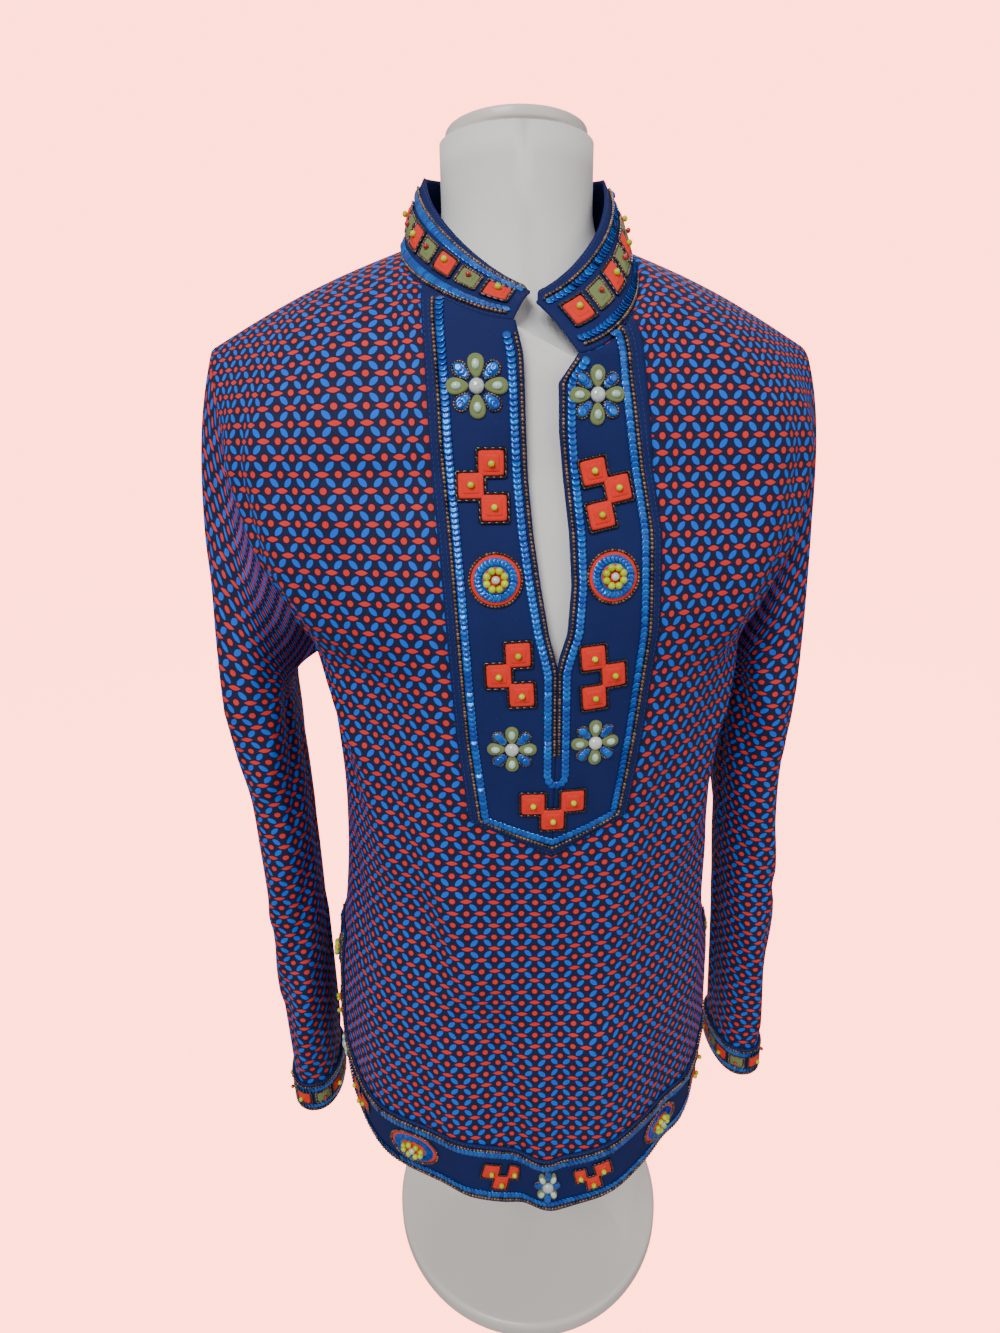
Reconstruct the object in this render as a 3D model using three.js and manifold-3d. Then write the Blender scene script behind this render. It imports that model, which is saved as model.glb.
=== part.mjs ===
// An embellished tunic shirt standing on a table-top dress form.
// Millimetres, +Z up, origin at the centre of the base plate's underside.
// The shirt's front faces -Y, and the wearer's left side is at +X.
// Garment heights are written from the shoulder tips: 0 at a tip, negative below it.
import * as THREE from 'three';
import Module from 'manifold-3d';
import { mergeVertices } from 'three/addons/utils/BufferGeometryUtils.js';

// Driving dimensions
const SHOULDER_Z = 780;          // shoulder tips above the table
const CLOTH = 1.5;               // wall of the printed cloth and of the collar
const TRIM = 1.2;                // wall of the navy bands laid on the cloth
const SEAM = 0.3;                // gap between neighbouring pieces
const COLLAR_SEAM = 0.7;         // gap at the neck seam, which bends at the neck points
const TRIM_EDGE = 1.2;           // trim stops this far inside a panel's edge
const NECK_HALF = 70;            // neck points from the middle of the neck
const NECK_RISE = 57;            // neck points above the shoulder tips
const SHOULDER_HALF = 196;       // shoulder tips from their middle
const SHOULDER_CROWN = 4;        // how far a shoulder seam bows up
const LEAN = -6;                 // the shoulders' middle lies this far across
const CHEST_Z = -75;             // row where the yoke's curve meets the body rings
const ARMPIT_Z = -200;
const SLIT_BOTTOM_Z = -183;      // foot of the neck slit
const VENT_Z = -427;             // top of the side vents
const CORNER_Z = -505;           // where the hem's round corners begin
const HEM_SIDE_Z = -590;         // hem at the end of a corner
const HEM_DIP = 22;              // extra length at the centre
const CORNER_RUN = 112;          // length of a corner along the hem
const QUARTER = 232;             // flat width of half a panel near the hem
const SLEEVE_END_Z = -604;
const CUFF = 29;                 // depth of the cuff band
const HEM_BAND = 50;             // width of the band round vents and hem
const COLLAR_SQUARE = 15;        // side of an applique square on the collar
const COLLAR_SQUARES = 24;
const COLLAR_PITCH = 19.5;       // from one square to the next
const COLLAR_HEIGHT = 45;
const CUFF_SQUARES = 12;
const CUFF_SQUARE = 11;
const RELIEF = 1.6;              // how far the applique stands up
const BASE_RADIUS = 125;
const BASE_THICK = 16;
const POLE_RADIUS = 14;

const RIGHT_ANGLE = Math.PI / 2;
const v3 = (x, y, z) => new THREE.Vector3(x, y, z);
const mix = (a, b, t) => a + (b - a) * t;
const clamp01 = (t) => Math.min(1, Math.max(0, t));
const smooth = (t) => clamp01(t) ** 2 * (3 - 2 * clamp01(t));

// Body rings. half: half width; lean: how far the sides hang across from the middle;
// frontEdge, backEdge: depth of the side seam or vent edge; frontDepth, backDepth: depth at
// the centre; inset: how far the dress form lies inside.
const BODY = [
  [-75, 186, -5, -42, 112, 42, 92, 2.5],
  [-120, 175, -4, -49, 121, 47, 100, 3],
  [-160, 159, -2, -38, 127, 36, 102, 3.5],
  [-200, 148, 0, -0.15, 129, 0.15, 101, 5],
  [-250, 142, 0, -0.15, 129, 0.15, 97, 12],
  [-300, 140, 0, -0.15, 127, 0.15, 94, 18],
  [-350, 141, -1, -0.15, 125, 0.15, 98, 16],
  [-400, 144, -3, -0.15, 125, 0.15, 107, 12],
  [-427, 147, -4, -0.15, 126, 0.15, 112, 10],
  [-470, 151, -5, -2, 129, 6, 118, 10],
  [-520, 152, -6, -5, 132, 12, 124, 12],
  [-570, 148, -7, -8, 134, 15, 128, 12],
  [-620, 141, -8, -9, 136, 16, 130, 12],
].map(([z, half, lean, frontEdge, frontDepth, backEdge, backDepth, inset]) => (
  { z, half, lean, frontEdge, frontDepth, backEdge, backDepth, inset }));

// Neck slit: where its wearer's-right (left) and wearer's-left (right) edges lie across.
const SLIT = [
  { z: -183, left: 2.85, right: 3.15 },
  { z: -164, left: -2, right: 9.5 },
  { z: -136, left: -6.5, right: 12 },
  { z: -108, left: -10, right: 11 },
  { z: -81, left: -12, right: 8.5 },
  { z: -54, left: -13, right: 6 },
  { z: -29, left: -13.5, right: 6 },
  { z: -15, left: -14, right: 17 },
  { z: 3, left: -18, right: 17 },
];
const SLIT_SPREAD = 0.36;        // part of a half panel that the slit's opening pushes aside
const CENTRE_SHIFT_END_Z = -400; // the slit's sideways lean has died out here

// Largest folds: soft ridges (+) and troughs (-) along a line on a panel.
// at, to: flat distance from the centre line; from z to z; width: half width; rise: height.
const FRONT_FOLDS = [
  { at: -150, z0: -185, to: -112, z1: -345, width: 17, rise: 5 },
  { at: -118, z0: -190, to: -78, z1: -330, width: 14, rise: -3 },
  { at: 158, z0: -195, to: 122, z1: -330, width: 15, rise: 4 },
  { at: -104, z0: 5, to: -112, z1: -110, width: 13, rise: 3.5 },
  { at: 108, z0: 5, to: 116, z1: -100, width: 13, rise: 2.5 },
  { at: -52, z0: -430, to: -22, z1: -640, width: 20, rise: -6 },
  { at: 48, z0: -450, to: 70, z1: -640, width: 24, rise: 5 },
  { at: -130, z0: -400, to: -120, z1: -600, width: 24, rise: 4 },
];
const BACK_FOLDS = [
  { at: -120, z0: -180, to: -70, z1: -350, width: 18, rise: 4 },
  { at: 124, z0: -175, to: 78, z1: -340, width: 18, rise: 4 },
  { at: -40, z0: -300, to: -62, z1: -640, width: 24, rise: 6 },
  { at: 52, z0: -320, to: 66, z1: -640, width: 26, rise: 5 },
  { at: 6, z0: -380, to: 2, z1: -640, width: 20, rise: -5 },
];

// Sleeve rings below the armhole. right, left: how far out the centre of that sleeve is;
// cy: its depth; hx, hy: half width and half depth.
const SLEEVE = [
  { z: -235, right: 198.5, left: 179, cy: -3, hx: 20, hy: 48 },
  { z: -300, right: 193, left: 179, cy: -3, hx: 19.5, hy: 42 },
  { z: -370, right: 190.5, left: 183, cy: -4, hx: 19, hy: 37.5 },
  { z: -450, right: 189.5, left: 188, cy: -5, hx: 18.8, hy: 35 },
  { z: -530, right: 188.5, left: 190.5, cy: -6, hx: 18, hy: 33.5 },
  { z: -610, right: 187.5, left: 192.5, cy: -7, hx: 17, hy: 32 },
];

// Front ends of the collar, for each side: foot (y, z) on the neck seam and upper tip.
const COLLAR_ENDS = {
  left: { footY: -100, footZ: 2, tipX: -3, tipY: -65, tipZ: 24 },
  right: { footY: -105, footZ: -15, tipX: -5.5, tipY: -70, tipZ: 20 },
};
const COLLAR_TOP = { half: 55, lean: -6.5, sideY: -4, sideZ: 96, backY: 50, backZ: 109 };
const COLLAR_CROWN = 2;          // how far it bows out at mid height
const COLLAR_END_ROUND = 0.15;   // how much of the height its front corners lose
const BACK_NECK = { depth: 62, rise: 14 };
const NECK_COLUMN = 0.36;        // column of a half panel that ends at the neck point

// Placket: how far its outer edges lie from the centre at each height, and its point.
const PLACKET = [
  { z: -284, left: 49, right: 49 },
  { z: -230, left: 55, right: 57 },
  { z: -165, left: 59, right: 64 },
  { z: -110, left: 62, right: 64 },
  { z: -60, left: 65, right: 56 },
  { z: 20, left: 66, right: 46 },
];
const PLACKET_TIP_Z = -309;
const PLACKET_CORNER_Z = -284;

// Raised applique on the placket. size is a radius for round ones and a half side for
// squares.
const PLACKET_MOTIFS = [
  [-38, -31, 15], [-32, -71, 7], [-43, -82, 7], [-31, -93, 7], [-31, -132, 14],
  [-20, -174, 7], [-30, -187, 7], [-18, -198, 7], [-23, -233, 14], [-11, -270, 7],
  [26, -36, 14], [25, -76, 7], [38, -85, 7], [29, -97, 7], [35, -133, 14],
  [27, -176, 7], [36, -189, 7], [23, -200, 7], [26, -231, 14], [14, -270, 7], [1, -281, 7],
].map(([x, z, size]) => ({ x, z, size }));

// A smooth reading of one column of a table that is sorted by falling or rising z.
function read(table, z, column) {
  const rows = table[0].z > table[table.length - 1].z ? [...table].reverse() : table;
  const last = rows.length - 1;
  if (z <= rows[0].z) return rows[0][column];
  if (z >= rows[last].z) return rows[last][column];
  const i = rows.findIndex((row) => row.z > z) - 1;
  const step = (k) => (rows[k + 1][column] - rows[k][column]) / (rows[k + 1].z - rows[k].z);
  const slope = (k) => {
    const before = step(Math.max(0, k - 1));
    const after = step(Math.min(last - 1, k));
    return before * after > 0 ? (2 * before * after) / (before + after) : 0;
  };
  const span = rows[i + 1].z - rows[i].z;
  const t = (z - rows[i].z) / span;
  const a = rows[i][column];
  const b = rows[i + 1][column];
  return (2 * t ** 3 - 3 * t ** 2 + 1) * a + (t ** 3 - 2 * t ** 2 + t) * span * slope(i)
    + (3 * t ** 2 - 2 * t ** 3) * b + (t ** 3 - t ** 2) * span * slope(i + 1);
}

// Straight reading between a table's rows, for edges with corners.
function readStraight(table, z, column) {
  const last = table.length - 1;
  if (z <= table[0].z) return table[0][column];
  if (z >= table[last].z) return table[last][column];
  const i = table.findIndex((row) => row.z > z) - 1;
  const t = (z - table[i].z) / (table[i + 1].z - table[i].z);
  return mix(table[i][column], table[i + 1][column], t);
}

// Height of all folds of a panel at a flat place (across, z).
function foldRise(folds, across, z) {
  let rise = 0;
  for (const fold of folds) {
    const dx = fold.to - fold.at;
    const dz = fold.z1 - fold.z0;
    const length = Math.hypot(dx, dz);
    const along = ((across - fold.at) * dx + (z - fold.z0) * dz) / length ** 2;
    const off = ((across - fold.at) * dz - (z - fold.z0) * dx) / length;
    const window = smooth(along * 4 + 0.5) * smooth((1 - along) * 4 + 0.5);
    rise += fold.rise * window * Math.exp(-((off / fold.width) ** 2));
  }
  return rise;
}

// Round a ring, a column's angle: even steps of s are about even steps along the cloth.
const columnAngle = (s) => RIGHT_ANGLE * (s - 0.06 * Math.sin(2 * Math.PI * s));

// A point of the front (sign -1) or back (sign 1) inside face, below the chest row.
// s runs from 0 at the centre to 1 at the side; side is -1 or 1 across.
function bodyPoint(sign, side, s, z) {
  const front = sign < 0;
  const half = read(BODY, z, 'half');
  const edge = read(BODY, z, front ? 'frontEdge' : 'backEdge');
  const depth = read(BODY, z, front ? 'frontDepth' : 'backDepth');
  const angle = columnAngle(s);
  const rise = foldRise(front ? FRONT_FOLDS : BACK_FOLDS, side * s * QUARTER, z) * smooth((1 - s) * 6);
  const x = side * half * Math.sin(angle);
  const y = edge + (sign * depth - edge) * Math.max(0, Math.cos(angle)) ** 0.9;
  const lift = rise / Math.hypot(x / half, y / depth);
  return v3(x + lift * x / half + read(BODY, z, 'lean') * s, y + lift * y / depth, z);
}

// The front is pushed aside by the neck slit.
function slitShift(side, s, z) {
  const column = side < 0 ? 'left' : 'right';
  const fade = 1 - smooth((SLIT_BOTTOM_Z - z) / (SLIT_BOTTOM_Z - CENTRE_SHIFT_END_Z));
  return readStraight(SLIT, z, column) * fade * Math.max(0, 1 - s / SLIT_SPREAD);
}

const frontEnd = (side) => (side < 0 ? COLLAR_ENDS.left : COLLAR_ENDS.right);

// Neck seam, turn 0 at the centre to a right angle at the neck point.
function neckPoint(sign, side, turn) {
  const x = (side * NECK_HALF + LEAN) * Math.sin(turn);
  if (sign > 0) return v3(x, BACK_NECK.depth * Math.cos(turn), NECK_RISE + BACK_NECK.rise * Math.cos(turn));
  const end = frontEnd(side);
  const climb = (1 - Math.cos(turn)) ** 0.85;
  return v3(x, end.footY * Math.cos(turn), mix(end.footZ, NECK_RISE, climb));
}

// Top edge of a panel: neck seam to the neck column, then the shoulder seam.
function topPoint(sign, side, s) {
  if (s <= NECK_COLUMN) return neckPoint(sign, side, RIGHT_ANGLE * s / NECK_COLUMN);
  const t = (s - NECK_COLUMN) / (1 - NECK_COLUMN);
  const z = NECK_RISE * (1 - t) + SHOULDER_CROWN * Math.sin(Math.PI * t);
  return v3(side * mix(NECK_HALF, SHOULDER_HALF, t) + LEAN, 0, z);
}

// A point of a panel's inside face. row 0 is the top edge, 1 the chest row, and beyond 1
// the row's own height is given by z.
function panelPoint(sign, side, s, row, z) {
  let point;
  if (row < 1) {
    const top = topPoint(sign, side, s);
    top.y += sign * SEAM / 2 * (s >= NECK_COLUMN ? 1 : 0);
    const foot = bodyPoint(sign, side, s, CHEST_Z);
    const drop = top.z - foot.z;
    const first = v3(top.x, mix(top.y, foot.y, 0.55), top.z - 0.1 * drop);
    const second = v3(foot.x, foot.y, foot.z + 0.45 * drop);
    point = new THREE.CubicBezierCurve3(top, first, second, foot).getPoint(row);
    const rise = foldRise(sign < 0 ? FRONT_FOLDS : BACK_FOLDS, side * s * QUARTER, point.z);
    point.y += sign * rise * smooth(row * 2) * smooth((1 - row) * 100) * smooth((1 - s) * 6);
    if (row > 0.99) point.copy(foot);
  } else {
    point = bodyPoint(sign, side, s, z);
  }
  if (sign < 0) point.x += slitShift(side, s, point.z);
  return point;
}

// Outward normal of a panel at the same place.
function panelNormal(sign, side, s, row, z) {
  const ds = 0.004;
  const s0 = Math.max(0, s - ds);
  const s1 = Math.min(1, s + ds);
  const across = panelPoint(sign, side, s1, row, z).sub(panelPoint(sign, side, s0, row, z));
  let down;
  if (row < 1) {
    const r0 = Math.max(0, row - 0.01);
    down = panelPoint(sign, side, s, Math.min(0.985, r0 + 0.02), z).sub(panelPoint(sign, side, s, r0, z));
  } else {
    down = panelPoint(sign, side, s, row, z - 1).sub(panelPoint(sign, side, s, row, z + 1));
  }
  return across.cross(down).normalize().multiplyScalar(-sign * -side);
}

// Hem height at column s: a shallow dip at the centre and round corners at the sides.
function hemZ(s) {
  const start = 1 - CORNER_RUN / QUARTER;
  if (s <= start) return HEM_SIDE_Z - HEM_DIP * Math.cos(RIGHT_ANGLE * s / start) ** 2;
  const t = (s - start) / (1 - start);
  return mix(CORNER_Z, HEM_SIDE_Z, Math.sqrt(Math.max(0, 1 - t * t)));
}

// A wall made from a sheet: points with normals, cells of four corners seen from outside,
// the inner face at lift[0] and the outer face at lift[1] plus each point's own relief.
function wall(points, cells, lift) {
  const count = points.length;
  const positions = [];
  for (const p of points) positions.push(p.at.clone().addScaledVector(p.normal, lift[0]));
  for (const p of points) {
    positions.push(p.at.clone().addScaledVector(p.normal, lift[1] + (p.relief || 0)));
  }
  const triangles = [];
  const edges = new Map();
  for (const [a, b, c, d] of cells) {
    const corners = [a, b, c, d].filter((v, k, all) => v !== all[(k + 1) % 4]);
    for (let k = 1; k + 1 < corners.length; k += 1) {
      triangles.push([corners[0] + count, corners[k] + count, corners[k + 1] + count]);
      triangles.push([corners[0], corners[k + 1], corners[k]]);
    }
    corners.forEach((from, k) => {
      const to = corners[(k + 1) % corners.length];
      const back = `${to}_${from}`;
      if (edges.has(back)) edges.delete(back);
      else edges.set(`${from}_${to}`, [from, to]);
    });
  }
  for (const [from, to] of edges.values()) {
    triangles.push([to + count, from + count, from], [to + count, from, to]);
  }
  return solid(positions, triangles);
}

// A closed solid from points and triangles.
function solid(positions, triangles) {
  const geometry = new THREE.BufferGeometry();
  const numbers = positions.flatMap((p) => p.toArray());
  geometry.setAttribute('position', new THREE.Float32BufferAttribute(numbers, 3));
  geometry.setIndex(triangles.flat());
  return closed(geometry);
}

// The same geometry with shared points merged and collapsed triangles left out.
function closed(source) {
  source.deleteAttribute('normal');
  source.deleteAttribute('uv');
  const geometry = mergeVertices(source, 1e-3);
  const kept = [];
  for (let t = 0; t < geometry.index.count; t += 3) {
    const [a, b, c] = [0, 1, 2].map((k) => geometry.index.getX(t + k));
    if (a !== b && b !== c && c !== a) kept.push(a, b, c);
  }
  geometry.setIndex(kept);
  return geometry;
}

const TRIM_LIFT = [CLOTH / 2, CLOTH + SEAM + TRIM];
const SPACER_LIFT = [-1, CLOTH + SEAM];
const wasm = await Module();
wasm.setup();

const toManifold = ({ attributes, index }) => new wasm.Manifold(new wasm.Mesh({
  numProp: 3,
  vertProperties: attributes.position.array,
  triVerts: Uint32Array.from(index.array),
}));

// Trim that lies on a panel: its deep underside is cut off along the panel's own cells.
function laidOn(trim, spacer) {
  const pieces = toManifold(trim).subtract(toManifold(spacer)).decompose();
  pieces.sort((a, b) => b.volume() - a.volume());
  const { vertProperties, triVerts } = pieces[0].getMesh();
  const geometry = new THREE.BufferGeometry();
  geometry.setAttribute('position', new THREE.Float32BufferAttribute(vertProperties, 3));
  geometry.setIndex([...triVerts]);
  return closed(geometry);
}

// Cells of a grid of rows by columns; closed joins the last column to the first.
function gridCells(rows, columns, closed = false) {
  const cells = [];
  for (let i = 0; i + 1 < rows; i += 1) {
    for (let j = 0; j + (closed ? 0 : 1) < columns; j += 1) {
      const k = (j + 1) % columns;
      cells.push([i * columns + j, (i + 1) * columns + j, (i + 1) * columns + k, i * columns + k]);
    }
  }
  return cells;
}

const turned = (cells) => cells.map(([a, b, c, d]) => [d, c, b, a]);

// Rows of a panel, from the top edge to the hem. YOKE are steps of the curve over the
// shoulder, BODY_ROWS heights, and TAIL steps from the last height to the hem.
const YOKE = [0, 0.12, 0.26, 0.42, 0.6, 0.8];
const BODY_ROWS = [CHEST_Z, -98, -122, -146, -166, SLIT_BOTTOM_Z, ARMPIT_Z, -238, -276, -314, -352,
  -390, VENT_Z, -462, -497];
const TAIL = [0.3, 0.6, 0.82, 1];
const ARMHOLE_ROWS = YOKE.length + BODY_ROWS.indexOf(ARMPIT_Z) + 1;
const SLIT_ROWS = YOKE.length + BODY_ROWS.indexOf(SLIT_BOTTOM_Z);

const panelRows = [
  ...YOKE.map((row) => ({ row, z: () => 0 })),
  ...BODY_ROWS.map((z) => ({ row: 2, z: () => z })),
  ...TAIL.map((t) => ({ row: 2, z: (s) => mix(BODY_ROWS[BODY_ROWS.length - 1], hemZ(s), t) })),
];
const HALF_COLUMNS = [0, 0.09, 0.18, 0.27, NECK_COLUMN, 0.47, 0.58, 0.69, 0.79, 0.89, 0.96, 1];

// A corner of a panel's sheet: column j outward from the centre, row i downward.
const corners = new Map();
function panelVertex(sign, half, j, i) {
  const open = sign < 0 && i < SLIT_ROWS;
  const side = j === 0 && !open ? -1 : half;
  const key = `${sign}_${side}_${j}_${i}`;
  if (!corners.has(key)) {
    const s = HALF_COLUMNS[j];
    const { row, z } = panelRows[i];
    const at = panelPoint(sign, side, s, row, z(s));
    const normal = panelNormal(sign, side, s, row, z(s));
    if (j === 0 && !open) normal.setX(0).normalize();
    if (j === 0 && sign < 0 && i === SLIT_ROWS) at.x = 0.5 * (SLIT[0].left + SLIT[0].right);
    corners.set(key, { at, normal });
  }
  const { at, normal } = corners.get(key);
  return { at: at.clone(), normal: normal.clone() };
}

// A place on a panel's flat cells, which is where trim lies: column s, and a row step on
// the yoke or a height below it.
function onPanel(sign, side, s, row, z) {
  const j = Math.max(0, Math.min(HALF_COLUMNS.length - 2, HALF_COLUMNS.findIndex((c) => c >= s) - 1));
  const across = clamp01((s - HALF_COLUMNS[j]) / (HALF_COLUMNS[j + 1] - HALF_COLUMNS[j]));
  const level = (i) => {
    const line = panelRows[i];
    if (row < 1) return line.row < 1 ? -line.row : -1;
    return mix(line.z(HALF_COLUMNS[j]), line.z(HALF_COLUMNS[j + 1]), across);
  };
  const want = row < 1 ? -row : z;
  let i = row < 1 ? 0 : YOKE.length;
  while (i < panelRows.length - 2 && level(i + 1) > want) i += 1;
  const down = clamp01((level(i) - want) / (level(i) - level(i + 1)));
  // Each cell is two triangles that share the diagonal from its upper inner corner.
  const [turn, share] = down >= across ? [[j, i + 1], down] : [[j + 1, i], across];
  const rest = Math.min(down, across);
  const blend = (name) => {
    const [a, b, c] = [[j, i], turn, [j + 1, i + 1]]
      .map(([column, line]) => panelVertex(sign, side, column, line)[name]);
    return a.multiplyScalar(1 - share).addScaledVector(b, share - rest).addScaledVector(c, rest);
  };
  return { at: blend('at'), normal: blend('normal').normalize() };
}

// A front or back panel: one wall with the neck slit open in the front.
function panel(sign, lift = [0, CLOTH]) {
  const points = [];
  const index = new Map();
  const vertex = (side, j, i) => {
    const open = sign < 0 && i < SLIT_ROWS;
    const key = `${j === 0 && !open ? 0 : side}_${j}_${i}`;
    if (!index.has(key)) {
      index.set(key, points.length);
      points.push(panelVertex(sign, side, j, i));
    }
    return index.get(key);
  };
  const cells = [];
  for (const side of [-1, 1]) {
    for (let i = 0; i + 1 < panelRows.length; i += 1) {
      for (let j = 0; j + 1 < HALF_COLUMNS.length; j += 1) {
        const [a, b, c, d] = [vertex(side, j, i), vertex(side, j, i + 1), vertex(side, j + 1, i + 1),
          vertex(side, j + 1, i)];
        cells.push(side * sign < 0 ? [a, b, c, d] : [a, d, c, b]);
      }
    }
  }
  return wall(points, cells, lift);
}

// The armhole's loop on one side: shoulder tip, down the front edge, armpit, up the back.
// Each place has the seam point, the panel's normal and the way off the panel.
function armhole(side) {
  const edge = (sign, i) => {
    const made = panelVertex(sign, side, HALF_COLUMNS.length - 1, i);
    const inner = panelVertex(sign, side, HALF_COLUMNS.length - 2, i);
    const away = made.at.clone().sub(inner.at);
    away.addScaledVector(made.normal, -away.dot(made.normal)).normalize();
    return { at: made.at, normal: made.normal, away };
  };
  const joined = (i) => {
    const a = edge(-1, i);
    const b = edge(1, i);
    return {
      at: a.at.add(b.at).multiplyScalar(0.5),
      normal: a.normal.add(b.normal).normalize(),
      away: v3(side, 0, i === 0 ? -0.2 : -0.6).normalize(),
    };
  };
  const loop = [joined(0)];
  for (let i = 1; i < ARMHOLE_ROWS - 1; i += 1) loop.push(edge(-1, i));
  loop.push(joined(ARMHOLE_ROWS - 1));
  for (let i = ARMHOLE_ROWS - 2; i > 0; i -= 1) loop.push(edge(1, i));
  return loop;
}

// A point of a sleeve's inside face on a level ring, with its outward normal. part 0 is
// outermost, then the front, the side facing the body, and the back.
function sleeveRing(side, part, z) {
  const columns = [side < 0 ? 'right' : 'left', 'cy', 'hx', 'hy'];
  const [cx, cy, hx, hy] = columns.map((column) => read(SLEEVE, z, column));
  const squareness = 0.85;
  const angle = 2 * Math.PI * part;
  const even = angle - 0.28 * Math.sin(2 * angle);
  const bend = (value) => Math.sign(value) * Math.abs(value) ** squareness;
  const x = cx + hx * bend(Math.cos(even));
  const y = cy - hy * bend(Math.sin(even));
  const normal = v3(side * (x - cx) / hx ** 2, (y - cy) / hy ** 2, 0).normalize();
  return { at: v3(side * x, y, z), normal };
}

// The same on the sleeve's flat cells, which is where the cuff band lies.
function onSleeve(side, part, z) {
  const columns = 2 * (ARMHOLE_ROWS - 1);
  const j = Math.floor(part * columns + 1e-9);
  const t = part * columns - j;
  const a = sleeveRing(side, j / columns, z);
  const b = sleeveRing(side, (j + 1) / columns, z);
  return { at: a.at.lerp(b.at, t), normal: a.normal.lerp(b.normal, t).normalize() };
}

const SLEEVE_ROWS = [-235, -268, -300, -335, -372, -410, -450, -492, -535, -570, SLEEVE_END_Z];
const CAP_STEPS = [0.12, 0.3, 0.5, 0.7, 0.86];
const CAP_PUFF = [0.05, 0.14];   // how far the cap stands off the armhole: at the tip, elsewhere
const CAP_PUFF_COLUMNS = 4;      // columns from the tip over which it grows
const CAP_PUSH = [3, 8];         // how far it is pushed outward: at the tip, at the armpit

function sleeve(side) {
  const loop = armhole(side);
  const columns = loop.length;
  const points = loop.map(({ at, normal, away }) => (
    { at: at.clone().addScaledVector(away, SEAM + 0.15), normal }));
  for (const step of CAP_STEPS) {
    loop.forEach(({ at, away }, j) => {
      const foot = sleeveRing(side, j / columns, SLEEVE_ROWS[0]).at;
      const start = at.clone().addScaledVector(away, SEAM + 0.15);
      const reach = start.distanceTo(foot);
      const fromTip = Math.min(j, columns - j);
      const puff = mix(...CAP_PUFF, smooth(fromTip / CAP_PUFF_COLUMNS));
      const push = mix(...CAP_PUSH, smooth(4 * fromTip / columns - 1));
      const first = start.clone().addScaledVector(away, puff * reach).add(v3(side * push, 0, -0.16 * reach));
      const second = foot.clone().add(v3(0, 0, 0.45 * reach));
      points.push({ at: new THREE.CubicBezierCurve3(start, first, second, foot).getPoint(step) });
    });
  }
  for (const z of SLEEVE_ROWS) {
    for (let j = 0; j < columns; j += 1) points.push(sleeveRing(side, j / columns, z));
  }
  const rows = 1 + CAP_STEPS.length + SLEEVE_ROWS.length;
  setGridNormals(points, rows, columns, side);
  const cells = gridCells(rows, columns, true);
  return wall(points, side > 0 ? turned(cells) : cells, [0, CLOTH]);
}

// Outward normals for the points of a tube that have none yet.
function setGridNormals(points, rows, columns, side) {
  for (let i = 0; i < rows; i += 1) {
    for (let j = 0; j < columns; j += 1) {
      const here = points[i * columns + j];
      if (here.normal) continue;
      const pick = (a, b) => points[a * columns + ((b + columns) % columns)].at;
      const across = pick(i, j + 1).clone().sub(pick(i, j - 1));
      const down = pick(Math.min(rows - 1, i + 1), j).clone().sub(pick(Math.max(0, i - 1), j));
      here.normal = down.cross(across).normalize().multiplyScalar(-side);
    }
  }
}

// Raised height at distance d from the middle of applique of a given half size.
const bump = (d, size) => RELIEF * smooth((size + 2 - d) / 4);

function cuffBand(side) {
  const columns = 48;
  const steps = [0, 0.3, 0.7, 1];
  const points = [];
  for (const step of steps) {
    for (let j = 0; j < columns; j += 1) {
      const made = onSleeve(side, j / columns, mix(SLEEVE_END_Z + CUFF, SLEEVE_END_Z, step));
      const square = ((j * CUFF_SQUARES) / columns) % 1;
      const off = Math.abs(square - 0.5) * CUFF_SQUARE * 1.7;
      made.relief = Math.min(bump(off, CUFF_SQUARE / 2), bump(Math.abs(step - 0.5) * CUFF, CUFF_SQUARE / 2));
      points.push(made);
    }
  }
  const cells = gridCells(steps.length, columns, true);
  return wall(points, side > 0 ? turned(cells) : cells, [CLOTH + SEAM, CLOTH + SEAM + TRIM]);
}

// The column of a front half where its inside face lies a given distance across.
function columnAcross(side, row, z, across) {
  let low = 0;
  let high = 0.8;
  for (let k = 0; k < 24; k += 1) {
    const middle = 0.5 * (low + high);
    if (side * panelPoint(-1, side, middle, row, z).x < across) low = middle;
    else high = middle;
  }
  return low;
}

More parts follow.
